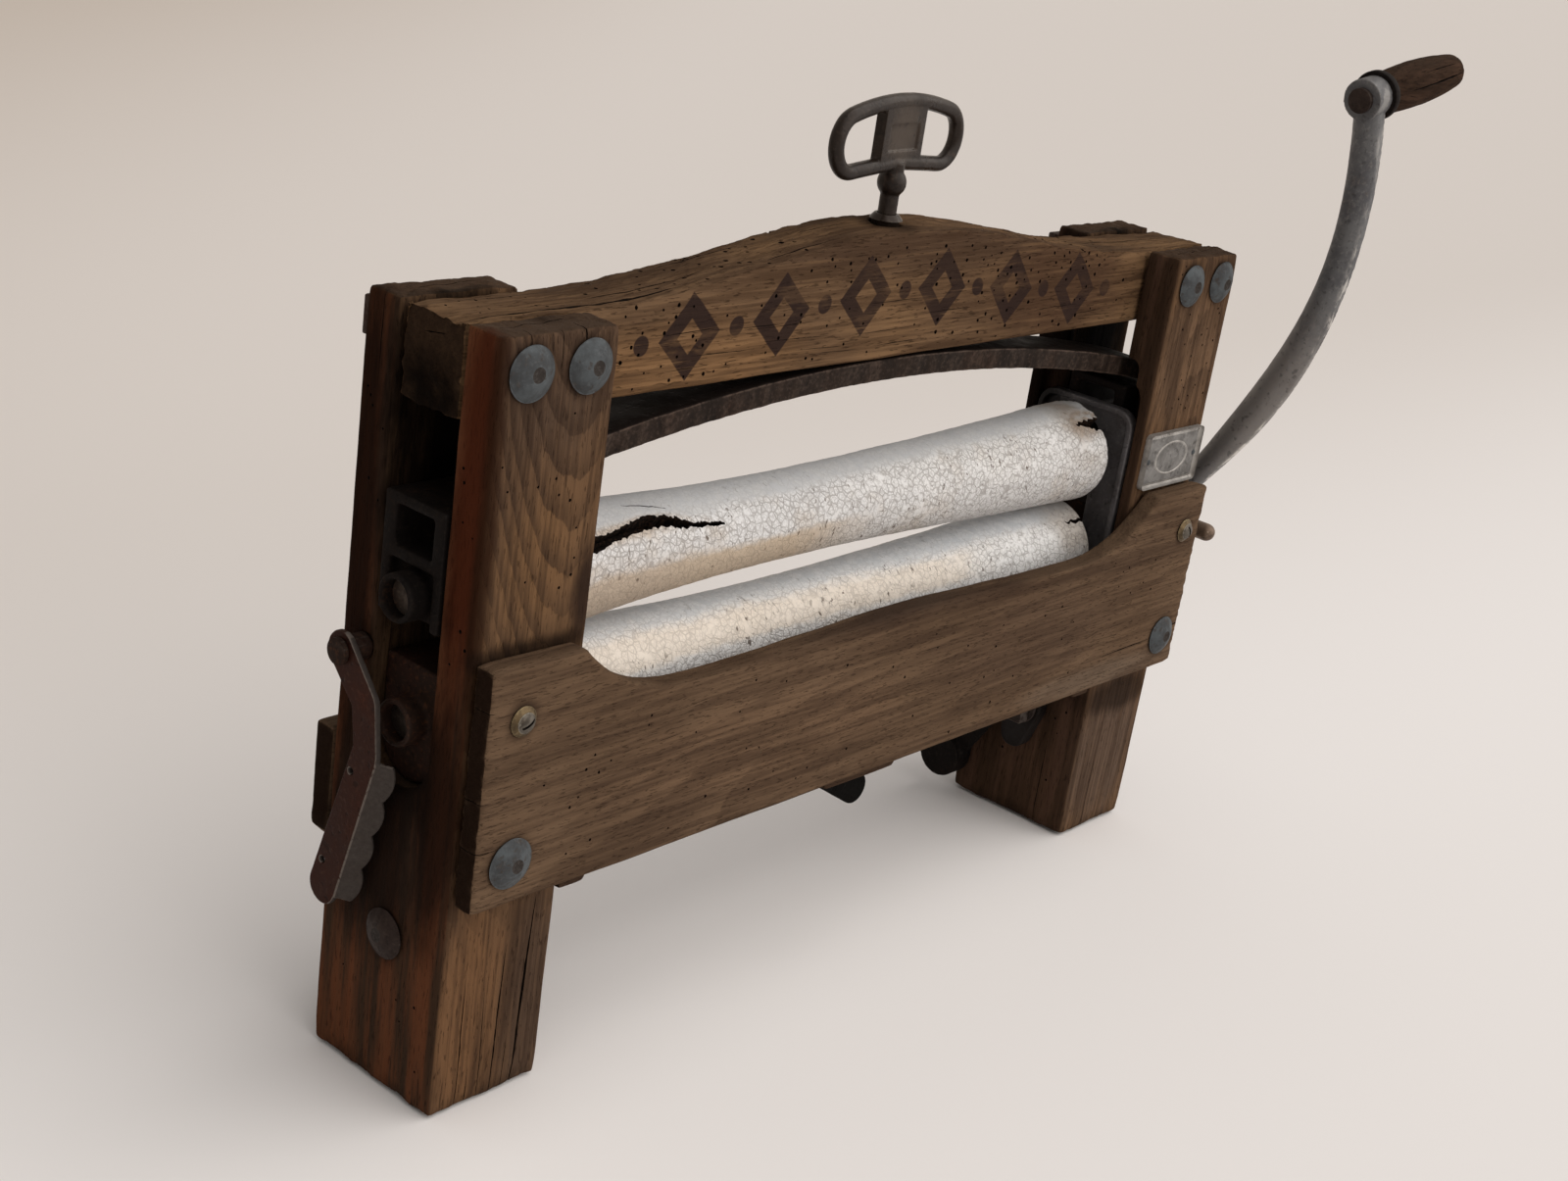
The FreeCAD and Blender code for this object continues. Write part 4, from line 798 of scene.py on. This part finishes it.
rollerWear = {"voxel": 1.4 * mm, "lump": 0.7 * mm, "pock": 0.40 * mm, "fray": 2.2 * mm, "lip": 1.1 * mm,
              "swell": 1.5 * mm}
longTear = [  # along, angle up from the front, width
    (-0.2085, 0.60, 0.0085), (-0.199, 0.62, 0.0080), (-0.190, 0.66, 0.0060), (-0.183, 0.70, 0.0054),
    (-0.176, 0.74, 0.0062), (-0.168, 0.80, 0.0066), (-0.160, 0.84, 0.0078), (-0.153, 0.82, 0.0062),
    (-0.147, 0.78, 0.0064), (-0.141, 0.72, 0.0060), (-0.137, 0.66, 0.0044), (-0.132, 0.62, 0.0022),
    (-0.127, 0.60, 0.0034), (-0.122, 0.58, 0.0018), (-0.117, 0.56, 0.0030), (-0.110, 0.53, 0.0008)]
upperTears = [  # seed, depth in mm, raggedness, path
    (201, 10, 0.55, longTear),
    (202, 10, 1.0, [(0.183, 0.94, 0.0012), (0.190, 0.92, 0.0050), (0.198, 0.89, 0.0085), (0.2095, 0.84, 0.0135)]),
    (203, 3, 0.4, [(-0.168, 1.30, 0.0005), (-0.155, 1.20, 0.0012), (-0.144, 1.06, 0.0005)])]
lowerTears = [
    (211, 4, 1.0, [(-0.112, -0.42, 0.0008), (-0.104, -0.36, 0.0026), (-0.096, -0.30, 0.0022), (-0.086, -0.24, 0.0008)]),
    (212, 5, 1.0, [(0.190, 0.88, 0.001), (0.198, 0.86, 0.003), (0.2095, 0.84, 0.005)])]


def radial(angle):
    return Vector((0, -math.cos(angle), math.sin(angle)))


def openTear(piece, axis, seed, deep, ragged, path):
    dice = random.Random(seed)
    dense = [[a + i / 5 * (b - a) for a, b in zip(*pair)] for pair in zip(path, path[1:]) for i in range(5)]
    rings = []
    for x, angle, wide in dense + [path[-1]]:
        level = max(-0.203, min(0.203, x))
        reach = max(math.hypot(v.co.y, v.co.z - axis) for v in piece.data.vertices if abs(v.co.x - level) < 0.003)
        half = wide * dice.uniform(1 - 0.35 * ragged, 1 + 0.3 * ragged) / 2 / reach
        angle = angle + dice.uniform(-0.030, 0.030) * ragged
        low, high = reach - deep * mm, reach + 0.004
        corners = ((high, -1), (high, 1), (low, 0.6), (low, -0.6))
        rings.append([Vector((x, 0, axis)) + radial(angle + share * half) * out for out, share in corners])
    tear = Cutter("tear", deepShadeRubber)
    tear.skin(rings)
    cutAway(piece, tear.make())


def curlLips(piece, axis):  # lips of the long tear curl up, and the right end has swollen
    for vertex in piece.data.vertices:
        x, y, z = vertex.co
        reach = math.hypot(y, z - axis)
        if reach < 0.018:
            continue
        angle = math.atan2(z - axis, -y)
        lift = 0.0
        for (x0, a0, w0), (x1, a1, w1) in zip(longTear, longTear[1:]):
            if x0 <= x <= x1:
                t = (x - x0) / (x1 - x0)
                gap = abs(angle - (a0 + t * (a1 - a0))) * reach - (w0 + t * (w1 - w0)) / 2
                lift = rollerWear["lip"] * math.exp(-(max(gap, 0) / 0.006) ** 2)
        lift += rollerWear["swell"] * max(0.0, (x - 0.150) / 0.055) * max(0.0, math.sin(angle)) ** 2
        vertex.co += radial(angle) * lift


def holdWithin(piece, axis, most):  # keeps the rollers clear of each other as they turn
    for vertex in piece.data.vertices:
        reach = math.hypot(vertex.co.y, vertex.co.z - axis)
        if reach > most:
            vertex.co.y *= most / reach
            vertex.co.z = axis + (vertex.co.z - axis) * most / reach


rollers = [  # height of the axis, greatest radius in mm
    ("upper", 0.238, 29.15, upperRubber, upperTears), ("lower", 0.180, 28.7, lowerRubber, lowerTears)]
for which, axis, most, finish, tears in rollers:
    roller = copyNode(which + "_roller", which + "RollerWorn")
    soften(roller, rollerWear["voxel"], 2)
    if which == "upper":
        curlLips(roller, axis)
    ripple(roller, 0.03, rollerWear["lump"], level=0.6)
    ripple(roller, 0.005, rollerWear["pock"], level=0.6)
    if which == "upper":  # frayed over its right end
        ripple(roller, 0.006, rollerWear["fray"], contrast=1.6,
               where=lambda p: near(p.x, 0.207, 0.035) * max(0.0, (p.z - axis) / 0.028))
    holdWithin(roller, axis, most * mm)
    coat(roller, finish)
    for tear in tears:
        openTear(roller, axis, *tear)
    smoothBy(roller, 45)
    standFor(roller, which + "_roller")
print("rollers made")


# iron: scale, rust and rubbed edges

ironUsual = dict(cloud=45, pit=260, pitShow=0.5, rust=0.5, edge=(0.52, 0.60), rub=0.6, bump=0.45, roughLow=0.45,
                 roughHigh=0.75, metal=0.35, gloss=0.12, zones=[], grime=[], plainAt=[], rubBelow=None, scuff=None,
                 topTint=None, turned=None)


def iron(name, base, second, speckTint, pitTint, rustTint, rubTint, **look):
    look = SimpleNamespace(**{**ironUsual, **look})
    finish = newFinish(name)
    coords = finish.coords
    cloud = coords.noise(look.cloud, 5.0, 0.62)
    grit = coords.noise(420, 4.0, 0.65)
    pits = finish.mapped((0.4, 0.2, 0.6)).noise(look.pit, 2.0, 0.5).band(0.60, 0.70)
    colour = finish.zones(cloud.band(0.38, 0.64).mix(base, second), look.zones, grit)
    colour = grit.band(0.50, 0.72, 0.0, 0.6).mix(colour, speckTint)
    colour = (pits * look.pitShow).mix(colour, pitTint)
    colour = (cloud.band(0.55, 0.72) * grit.band(0.42, 0.62) * look.rust).mix(colour, rustTint)
    rubbed = finish.edges(*look.edge) * grit.band(0.30, 0.55) * look.rub
    for reach in look.plainAt:  # no rubbed line where two runs of one bar meet
        rubbed = rubbed * abs(abs(coords.part("X")) - reach).band(0.004, 0.008)
    if look.rubBelow:
        rubbed = rubbed * coords.part("Z").band(look.rubBelow + 0.05, look.rubBelow, 0.3, 1.0)
    colour = rubbed.mix(colour, rubTint)
    if look.scuff:  # pale scuffs along one side, thinner higher up
        side, level, shade = look.scuff
        toward = finish.add("NewGeometry", output="Normal").vector("DOT_PRODUCT", side, "Value")
        worn = finish.mapped((0.2, 0.7, 0.4), scale=(1, 1, 0.35)).noise(130, 4.0, 0.65).band(0.46, 0.58)
        low = coords.part("Z").band(level + 0.05, level - 0.05, 0.25, 1.0)
        colour = (toward.band(0.15, 0.65) * worn * low).mix(colour, shade)
    # top faces take another tone; on the spring this is painted shade under the beam
    if look.topTint:
        colour = finish.facing("Z").band(0.6, 0.85, 0.0, 0.9).mix(colour, look.topTint)
    if look.turned:  # the strip turned in along one edge, with a bright crease: rubbed metal and a painted highlight along the bend
        toward = finish.facing("Y")
        colour = toward.band(-0.35, -0.5, 0.0, 0.9).mix(colour, grit.mix(*look.turned))
        crease = toward.band(-0.08, -0.2) * toward.band(-0.62, -0.48) * grit.band(0.3, 0.5)
        colour = crease.mix(colour, rubTint)
    colour = finish.zones(colour, look.grime, grit)
    height = cloud * 0.5 + grit * 0.5 - pits * 0.5
    rough = cloud.band(0.35, 0.68, look.roughLow, look.roughHigh)
    return finish.close(colour, rough, (height, look.bump, 0.0005), look.metal, look.gloss)


# each finish: base, second tone, specks, pits, rust and rubbed edges
rusted = iron(
    "rustedIron", (38, 27, 22), (48, 31, 25), (78, 50, 34), (20, 14, 11), (84, 49, 30), (86, 78, 72),
    rub=0.4, metal=0.1, roughLow=0.55, gloss=0.04)
leverIron = iron(
    "leverIron", (46, 25, 19), (57, 34, 27), (70, 48, 39), (25, 16, 13), (80, 44, 32), (106, 97, 90),
    rub=0.55, metal=0.25, roughLow=0.5, gloss=0.07, turned=((50, 45, 41), (80, 74, 70)))
blockIron = iron(
    "blockIron", (21, 18, 17), (27, 22, 20), (40, 33, 28), (12, 10, 9), (56, 38, 28), (58, 53, 50),
    rub=0.4, metal=0.1, roughLow=0.55, gloss=0.03)
darkIron = iron(
    "darkIron", (20, 17, 16), (28, 23, 21), (42, 35, 31), (12, 10, 9), (46, 32, 24), (56, 51, 48),
    rub=0.4, metal=0.1, roughLow=0.5, gloss=0.04,
    zones=[((0.210, -0.002, 0.066), (0.02, 0.014, 0.022), (41, 38, 37), 0.9)])
gunmetal = iron(
    "gunmetal", (44, 35, 29), (33, 26, 22), (60, 50, 43), (22, 18, 15), (56, 42, 33), (112, 101, 90),
    rub=0.5, metal=0.3, roughLow=0.24, roughHigh=0.42, bump=0.3, gloss=0.22,
    zones=[((0, 0, 0.426), (0.017, 0.012, 0.018), (72, 61, 51), 0.8)])
crankIron = iron(
    "crankIron", (98, 97, 97), (79, 78, 80), (120, 117, 115), (54, 52, 51), (98, 86, 77), (196, 190, 183),
    rub=0.9, metal=0.2, roughLow=0.40, roughHigh=0.62, bump=0.35, rust=0.3, pit=330, rubBelow=0.33,
    edge=(0.515, 0.58), gloss=0.3, scuff=((0.62, -0.78, 0.0), 0.36, (200, 194, 187)),
    zones=[((0.3255, -0.03, 0.275), (0.03, 0.09, 0.07), (136, 129, 123), 0.65)])
plateIron = iron(
    "plateIron", (98, 95, 96), (80, 76, 76), (116, 112, 110), (30, 28, 28), (68, 54, 46), (132, 132, 134),
    rub=0.75, metal=0.3, roughLow=0.38, roughHigh=0.6, bump=0.3, rust=0.3,
    # painted shade: black over the plate's rear upper part, beside the post
    grime=[((postInner, 0.036, 0.262), (0.02, 0.029, 0.06), black, 0.95)])
# the spring's dark top faces are painted shade under the beam
springSteel = iron(
    "springSteel", (32, 25, 21), (41, 32, 27), (74, 61, 53), (22, 17, 15), (60, 42, 33), (108, 90, 79),
    rub=0.8, metal=0.15, roughLow=0.5, edge=(0.51, 0.56), gloss=0.05, topTint=(22, 17, 15),
    plainAt=[0.0, 0.125])
shaftSteel = iron(
    "shaftSteel", (76, 68, 62), (60, 50, 44), (98, 84, 72), (36, 29, 25), (92, 60, 42), (140, 132, 124),
    metal=0.6, roughLow=0.4)
boltZinc = iron(
    "boltZinc", (78, 82, 84), (63, 64, 65), (92, 95, 97), (58, 50, 44), (72, 59, 49), (116, 118, 118),
    cloud=90, metal=0.2, roughLow=0.50, roughHigh=0.68, bump=0.25, rust=0.6, pitShow=0.6)
footZinc = iron(
    "footBoltIron", (50, 40, 36), (40, 31, 28), (66, 55, 48), (28, 22, 19), (66, 46, 36), (98, 90, 84),
    cloud=90, metal=0.3, roughLow=0.48)
brass = iron(
    "screwBrass", (96, 81, 59), (74, 62, 47), (136, 118, 88), (52, 43, 33), (82, 68, 53), (182, 164, 126),
    cloud=160, metal=0.7, roughLow=0.36, roughHigh=0.58, bump=0.25)
headSteel = iron(
    "screwHeadSteel", (96, 90, 82), (76, 69, 61), (118, 110, 100), (44, 37, 31), (84, 66, 51), (150, 142, 130),
    cloud=160, metal=0.5, roughLow=0.42, roughHigh=0.62, bump=0.25)
knobBronze = iron(
    "knobBronze", (112, 92, 76), (94, 76, 62), (134, 113, 95), (58, 47, 39), (98, 76, 60), (168, 150, 132),
    cloud=160, metal=0.3, roughLow=0.36, roughHigh=0.55, bump=0.25, gloss=0.3)
# near black, darker than the other black iron: painted shade, as the tongue sits in the board's shade
tongueShadedIron = iron(
    "tongueShadedIron", (9, 8, 7), (13, 11, 10), (19, 16, 14), (5, 4, 4), (24, 17, 14), (44, 41, 39),
    rub=0.4, metal=0.0, roughLow=0.5, gloss=0.02)
tagMetal = iron(
    "tagMetal", (162, 158, 153), (138, 134, 130), (168, 164, 159), (72, 67, 63), (108, 96, 86), (188, 184, 178),
    cloud=110, metal=0.6, roughLow=0.38, roughHigh=0.6, bump=0.3, rust=0.25, rub=0.8)
tagGround = iron(
    "tagGround", (124, 121, 118), (104, 101, 98), (146, 142, 138), (60, 56, 53), (92, 82, 74), (150, 146, 141),
    cloud=110, metal=0.3, bump=0.3, rust=0.25)
pitRust = shadeAndRustTint("pitRust", (52, 47, 44), (68, 63, 60))
print("metal finishes made")


# cast and forged pieces: the CAD form with cast fillets

paired = [  # node, piece, finish, then corner, voxel and ripple in mm
    ("upper_block", "UpperBlockCast", blockIron, 0.9, 1.0, 0.25),
    ("lower_block", "LowerBlockCast", rusted, 0.9, 1.0, 0.3),
    ("cheek_plate", "CheekPressed", plateIron, 0.5, 0.8, 0.2),
    ("clamp_paw", "PawCast", darkIron, 1.0, 1.0, 0.3),
]
castings = [(f"{side}_{node}", side + name, *rest) for node, name, *rest in paired for side in ("left", "right")]
castings += [
    ("rest_tongue", "restTongueForged", tongueShadedIron, 0.8, 0.7, 0.2),
    ("crank_arm", "crankArmCast", crankIron, 0.0, 0.65, 0.25),
    ("side_lever", "sideLeverPressed", leverIron, 0.4, 0.5, 0.15),
    ("crank_set_screw", "setScrewTurned", knobBronze, 0.3, 0.5, 0.1),
]
for node, name, material, corner, voxel, lump in castings:
    piece = copyNode(node, name)
    if corner:
        roundArris(piece, corner * mm)
    soften(piece, voxel * mm, 2)
    ripple(piece, 0.008, lump * mm)
    standFor(piece, node, material)
print("castings made")

bow = {"half": 0.2455, "wide": 0.034, "rise": 0.0254, "foot": 0.2803, "thick": 0.012, "radius": 1.1991,
       "middle": 0.008, "still": 0.125, "seat": postInner, "edge": 1.6 * mm, "pitting": 0.45 * mm, "nicks": 0.9 * mm}
bpy.ops.mesh.primitive_grid_add(x_subdivisions=180, y_subdivisions=14, size=1)
spring = bpy.context.object
for vertex in spring.data.vertices:
    x = 2 * bow["half"] * vertex.co.x
    drop = math.sqrt(bow["radius"] ** 2 - x * x) - (bow["radius"] - bow["rise"])
    vertex.co = (x, bow["wide"] * vertex.co.y, bow["foot"] + drop)
modify(spring, "SOLIDIFY", thickness=bow["thick"], offset=1)
bevel(spring, bow["edge"], 3, 50)
ripple(spring, 0.012, bow["pitting"])
ripple(spring, 0.006, bow["nicks"], where=lambda p: near(abs(p.y), bow["wide"] / 2, 0.003))
coat(spring, springSteel)
for side, word in ((-1, "Left"), (1, "Right")):  # each side is cut into an inner run and an outer run
    for part, inner, outer, bodies, bend in (
            ("Inner", 0.0, bow["still"], ("shoe", "frame"), (bow["middle"], bow["still"])),
            ("Outer", bow["still"], 2 * bow["half"], ("frame", "upper_carriage"), (bow["still"], bow["seat"]))):
        run = link(f"bowSpring{word}{part}", spring.data.copy())
        for reach, trim in ((inner, {"clear_inner": True}), (outer, {"clear_outer": True})):
            startEdit(run)
            bpy.ops.mesh.bisect(plane_co=(side * reach, 0, 0), plane_no=(side, 0, 0), use_fill=True, **trim)
            endEdit()
        smoothBy(run, 50)
        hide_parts("bow_spring")
        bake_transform(run)
bpy.data.objects.remove(spring)

wing = {"turn": 6.0, "low": 0.4165, "high": 0.4335, "wide": 0.0255, "sink": 1.0 * mm, "half": 3.2 * mm, "arch": 7 * mm,
        "voxel": 0.5 * mm, "lump": 0.15 * mm}
wingScrew = copyNode("pressure_screw", "wingScrewCast")
for side in (-1, 1):  # a plain sunk panel with a round top on each face of the plate
    panel = block((0, side * wing["half"], (wing["low"] + wing["high"]) / 2),
                  (wing["wide"], 2 * wing["sink"], wing["high"] - wing["low"]))
    pickEdges(panel, lambda a, b: min(a.z, b.z) > wing["high"] - 0.1 * mm and abs(a.x - b.x) < 0.1 * mm)
    bpy.ops.mesh.bevel(offset=wing["arch"], segments=6)
    endEdit()
    panel.data.transform(Matrix.Rotation(math.radians(wing["turn"]), 4, "Z"))
    cutAway(wingScrew, panel)
soften(wingScrew, wing["voxel"], 3)
ripple(wingScrew, 0.006, wing["lump"])
standFor(wingScrew, "pressure_screw", gunmetal)
print("spring and wing screw made")

turned = [  # node, piece, finish, edge mm
    ("upper_shaft", "upperShaftTurned", shaftSteel, 0.6), ("lower_shaft", "lowerShaftTurned", shaftSteel, 0.6),
    ("grip_pin", "gripPinTurned", footZinc, 0.7), ("grip_collar", "gripCollarTurned", darkIron, 0.8),
    ("screw_bush", "screwBushTurned", gunmetal, 0.4), ("pressure_shoe", "pressureShoeTurned", blockIron, 0.6),
    ("lever_pivot", "leverPivotTurned", rusted, 0.7), ("screw_cups", "screwCupsPressed", brass, 0.25),
]
for kind, edge in (("washers", 0.3), ("nuts", 0.8)):
    for place, material in (("beam", rusted), ("board", rusted), ("foot", footZinc)):
        turned.append((f"{place}_bolt_{kind}", place + kind.title(), material, edge))
turned.append(("tag_nails", "tagNails", boltZinc, 0.15))
for node, name, material, edge in turned:
    piece = copyNode(node, name)
    bevel(piece, edge * mm, 2, 35)
    smoothBy(piece, 40)
    standFor(piece, node, material)
print("turned pieces made")


# carriage bolts and slotted screws: one of each, copied to its seats

def domedHead(radius, high, rim, material):
    ball = (radius ** 2 + high ** 2) / (2 * high)
    bpy.ops.mesh.primitive_uv_sphere_add(segments=64, ring_count=96, radius=ball, location=(0, 0, high - ball))
    dome = applied(bpy.context.object)
    startEdit(dome)
    bpy.ops.mesh.bisect(plane_co=(0, 0, 0), plane_no=up, use_fill=True, clear_inner=True)
    endEdit()
    bevel(dome, rim, 3, 30)
    coat(dome, material)
    return dome


def addShank(dome, radius, length, material):
    bpy.ops.mesh.primitive_cylinder_add(vertices=32, radius=radius, depth=length, location=(0, 0, -length / 2))
    shank = applied(bpy.context.object)
    bevel(shank, 0.2 * radius, 2, 40)
    coat(shank, material)
    join(dome, shank)
    smoothBy(dome, 40)


def seatAll(model, name, node, seats):  # place, way out and turn of each
    model.name = name
    copies = [model] + [link(name, model.data.copy()) for _ in seats[1:]]
    for piece, (place, outward, turn) in zip(copies, seats):
        facing = Vector(up).rotation_difference(Vector(outward)).to_matrix().to_4x4()
        piece.data.transform(Matrix.Translation(place) @ facing @ Matrix.Rotation(turn, 4, "Z"))
    join(*copies)
    standFor(model, node)


bolt = {"dome": 12.3 * mm, "high": 5.0 * mm, "shank": 5.0 * mm, "rim": 0.7 * mm, "dimple": 10.0 * mm,
        "dimpleDeep": 1.2 * mm, "dimpleAt": (0.8 * mm, 0.5 * mm), "dents": 0.6 * mm, "turn": 1.3}


def boltGroup(name, node, length, material, places):
    dome = domedHead(bolt["dome"], bolt["high"], bolt["rim"], material)
    ripple(dome, 0.007, bolt["dents"])
    level = bolt["high"] + bolt["dimple"] - bolt["dimpleDeep"]
    bpy.ops.mesh.primitive_ico_sphere_add(subdivisions=4, radius=bolt["dimple"], location=(*bolt["dimpleAt"], level))
    dimple = bpy.context.object
    coat(dimple, pitRust)
    cutAway(dome, dimple)
    addShank(dome, bolt["shank"], length, material)
    seatAll(dome, name, node, [(*place, bolt["turn"] * number) for number, place in enumerate(places)])


sides = (-1, 1)
boltGroup("beamBolts", "beam_bolts", 0.098, boltZinc,
          [((s * x, -postFace, 0.344), front) for s in sides for x in (0.2325, 0.2645)])
boltGroup("boardBolts", "board_bolts", 0.1248, boltZinc, [((s * 0.2605, boardFront, 0.131), front) for s in sides])
boltGroup("footBolts", "foot_bolts", 0.090, footZinc, [((s * postOuter, -0.003, 0.078), (s, 0, 0)) for s in sides])

screw = {"seat": -0.0576, "across": 4.9 * mm, "high": 2.3 * mm, "rim": 0.4 * mm, "slotWide": 1.3 * mm,
         "slotDeep": 1.1 * mm, "shank": 2.0 * mm, "long": 0.026, "turn": (0.5, 1.9)}
head = domedHead(screw["across"], screw["high"], screw["rim"], headSteel)
# the screw's slot is coated near black: painted shade inside it
slot = block((0, 0, screw["high"]), (0.014, screw["slotWide"], 2 * screw["slotDeep"]))
coat(slot, deepShadeWood)
cutAway(head, slot)
addShank(head, screw["shank"], screw["long"], headSteel)
seatAll(head, "boardScrewsSlotted", "board_screws",
        [((s * 0.2615, screw["seat"], 0.198), front, turn) for s, turn in zip(sides, screw["turn"])])


# the bare tag plate and the wooden grip

tag = {"wide": 58 * mm, "high": 33 * mm, "thick": 0.8 * mm, "middle": (0.2485, -0.0429, 0.2415), "corner": 3 * mm,
       "rim": 2.0 * mm, "slope": 0.35 * mm, "sink": 0.4 * mm, "oval": 9.5 * mm, "bead": 1.1 * mm, "stretch": 1.75}
tagPlate = block(tag["middle"], (tag["wide"], tag["thick"], tag["high"]))
tagPlate.name = "tagPlateBare"
pickEdges(tagPlate, lambda a, b: abs((a - b).y) > 0.5 * tag["thick"])
bpy.ops.mesh.bevel(offset=tag["corner"], segments=5)
bpy.ops.mesh.select_all(action="DESELECT")
endEdit()
for face in tagPlate.data.polygons:
    face.select = face.normal.y < -0.9
bpy.ops.object.mode_set(mode="EDIT")
bpy.ops.mesh.inset(thickness=tag["rim"], depth=0)
bpy.ops.mesh.inset(thickness=tag["slope"], depth=-tag["sink"])
endEdit()
coat(tagPlate, tagMetal, tagGround)
for face in tagPlate.data.polygons:
    face.material_index = int(face.select)
bpy.ops.mesh.primitive_torus_add(major_segments=72, minor_segments=12, major_radius=tag["oval"],
                                 minor_radius=tag["bead"], rotation=(math.pi / 2, 0, 0))
oval = bpy.context.object
oval.scale = (tag["stretch"], 1.0, 1.0)
coat(oval, tagMetal)
only(oval)
bpy.ops.object.transform_apply(location=False, rotation=True, scale=True)
oval.data.transform(Matrix.Translation(tag["middle"]))
join(tagPlate, oval)
smoothBy(tagPlate, 35)
standFor(tagPlate, "tag_plate")

tilt = math.radians(9)
grip = {"axis": Vector((math.cos(tilt), 0, math.sin(tilt))), "start": Vector((0.3255, -0.0749, 0.4539)),
        "voxel": 0.9 * mm, "lump": 0.6 * mm,
        "splits": [(2.2, 0.030, 0.098, 1.7), (0.15, 0.028, 0.098, 1.8), (0.75, 0.045, 0.090, 0.9),
                   (3.6, 0.045, 0.099, 0.9)]}
gripWood = timber(
    "gripWood", grain="X", pith=(0.375, -0.066, 0.456), lean=(0, tilt, 0), spacing=0.0024, wander=0.004,
    mid=(54, 40, 32), pale=(74, 55, 43), dark=(34, 25, 19), late=(38, 28, 22), pore=(19, 13, 10),
    stainTint=(38, 28, 22), rubTint=(76, 59, 47), dustTint=(58, 45, 36), endTint=(52, 40, 33), seed=0.33)
gripPiece = copyNode("crank_grip", "crankGripWorn")
soften(gripPiece, grip["voxel"], 3)
ripple(gripPiece, 0.012, grip["lump"])
coat(gripPiece, gripWood)
wear = Cutter("gripSplits", deepShadeWood)
sideways = Vector(rear)
upward = -sideways.cross(grip["axis"]).normalized()
for number, (turn, s0, s1, wide) in enumerate(grip["splits"]):  # turn, start and end along the grip, width in mm
    outward = (sideways * -math.cos(turn) + upward * math.sin(turn)).normalized()
    path = []
    for i in range(7):
        s = s0 + (s1 - s0) * i / 6
        t = (s - 0.0124) / 0.085
        reach = 0.0115 + 0.0019 * math.sin(math.pi * min(1, max(0, t)) ** 0.9) - 0.0013 * max(0, t - 0.6) / 0.4
        path.append(grip["start"] + grip["axis"] * s + outward * reach)
    wear.split(path, outward, wide * mm, 4 * mm, 301 + number, 0.15 * mm)
finishTimber(gripPiece, "crank_grip", wear)
print("bolts, screws, tag plate and grip made")


# floor, light and camera

# the floor darkens toward the back and toward the far left: painted fall-off of the light
floorLook = {"reach": 60.0, "near": (244, 238, 234), "far": (170, 151, 130), "along": (-0.6, 0.8, 0.0),
             "back": 0.33, "corner": 0.36}
bpy.ops.mesh.primitive_grid_add(x_subdivisions=12, y_subdivisions=12, size=floorLook["reach"], location=(0, 0, -0.0002))
floor = bpy.context.object
floor.name = "paperFloor"
paper = newFinish("paperFloor")
depth = paper.coords.vector("DOT_PRODUCT", floorLook["along"], "Value")
fade = paper.coords.part("Y").band(-0.15, 0.75, 0.0, floorLook["back"]) + depth.band(0.4, 2.0, 0.0, floorLook["corner"])
coat(floor, paper.close(fade.mix(floorLook["near"], floorLook["far"]), 0.9, specular=0.1))

sun = {"toward": (0.40, -0.62, 0.68), "energy": 2.45, "angle": 95.0, "tint": (1.0, 0.985, 0.965)}
bpy.ops.object.light_add(type="SUN", location=(1.5, -2.0, 2.0))
lamp = bpy.context.object
lamp.name = "windowLight"
lamp.data.energy = sun["energy"]
lamp.data.angle = math.radians(sun["angle"])
lamp.data.color = sun["tint"]
lamp.rotation_euler = (-Vector(sun["toward"])).to_track_quat("-Z", "Y").to_euler()

room = {"light": (0.80, 0.79, 0.78, 1), "strength": 0.45, "seen": (206, 195, 184)}
scene.world = bpy.data.worlds.new("softRoom")
sky = Finish(scene.world)
soft = sky.tree.nodes["Background"]
soft.inputs["Color"].default_value = room["light"]
soft.inputs["Strength"].default_value = room["strength"]
seen = sky.add("LightPath", output="Is Camera Ray")
for kind in ("Is Glossy Ray", "Is Transmission Ray"):
    seen = seen.op("MAXIMUM", sky.add("LightPath", output=kind))
plain = sky.add("Background", {"Color": room["seen"]})
shown = sky.add("MixShader", {0: seen, 1: Signal(sky, soft.outputs[0]), 2: plain})
sky.put(sky.tree.nodes["World Output"].inputs["Surface"], shown)

viewpoint = {"place": (-0.83779, -0.64308, 0.57358), "azimuth": -51.654, "elevation": 21.522, "roll": 8.841,
             "lens": 49.693, "shiftX": -0.00258, "shiftY": 0.0322}
azimuth, elevation, roll = (math.radians(viewpoint[k]) for k in ("azimuth", "elevation", "roll"))
back = Vector((math.sin(azimuth) * math.cos(elevation), -math.cos(azimuth) * math.cos(elevation), math.sin(elevation)))
sideways = Vector((math.cos(azimuth), math.sin(azimuth), 0))
upward = back.cross(sideways)
rolledSide = sideways * math.cos(roll) + upward * math.sin(roll)
rolledUp = upward * math.cos(roll) - sideways * math.sin(roll)
bpy.ops.object.camera_add()
camera = bpy.context.object
camera.name = "photoCamera"
camera.data.lens = viewpoint["lens"]
camera.data.sensor_width = 36
camera.data.shift_x = viewpoint["shiftX"]
camera.data.shift_y = viewpoint["shiftY"]
camera.data.clip_start = 0.01
aim = Matrix((rolledSide, rolledUp, back)).transposed().to_4x4()
camera.matrix_world = Matrix.Translation(viewpoint["place"]) @ aim
scene.camera = camera
print("stage made")
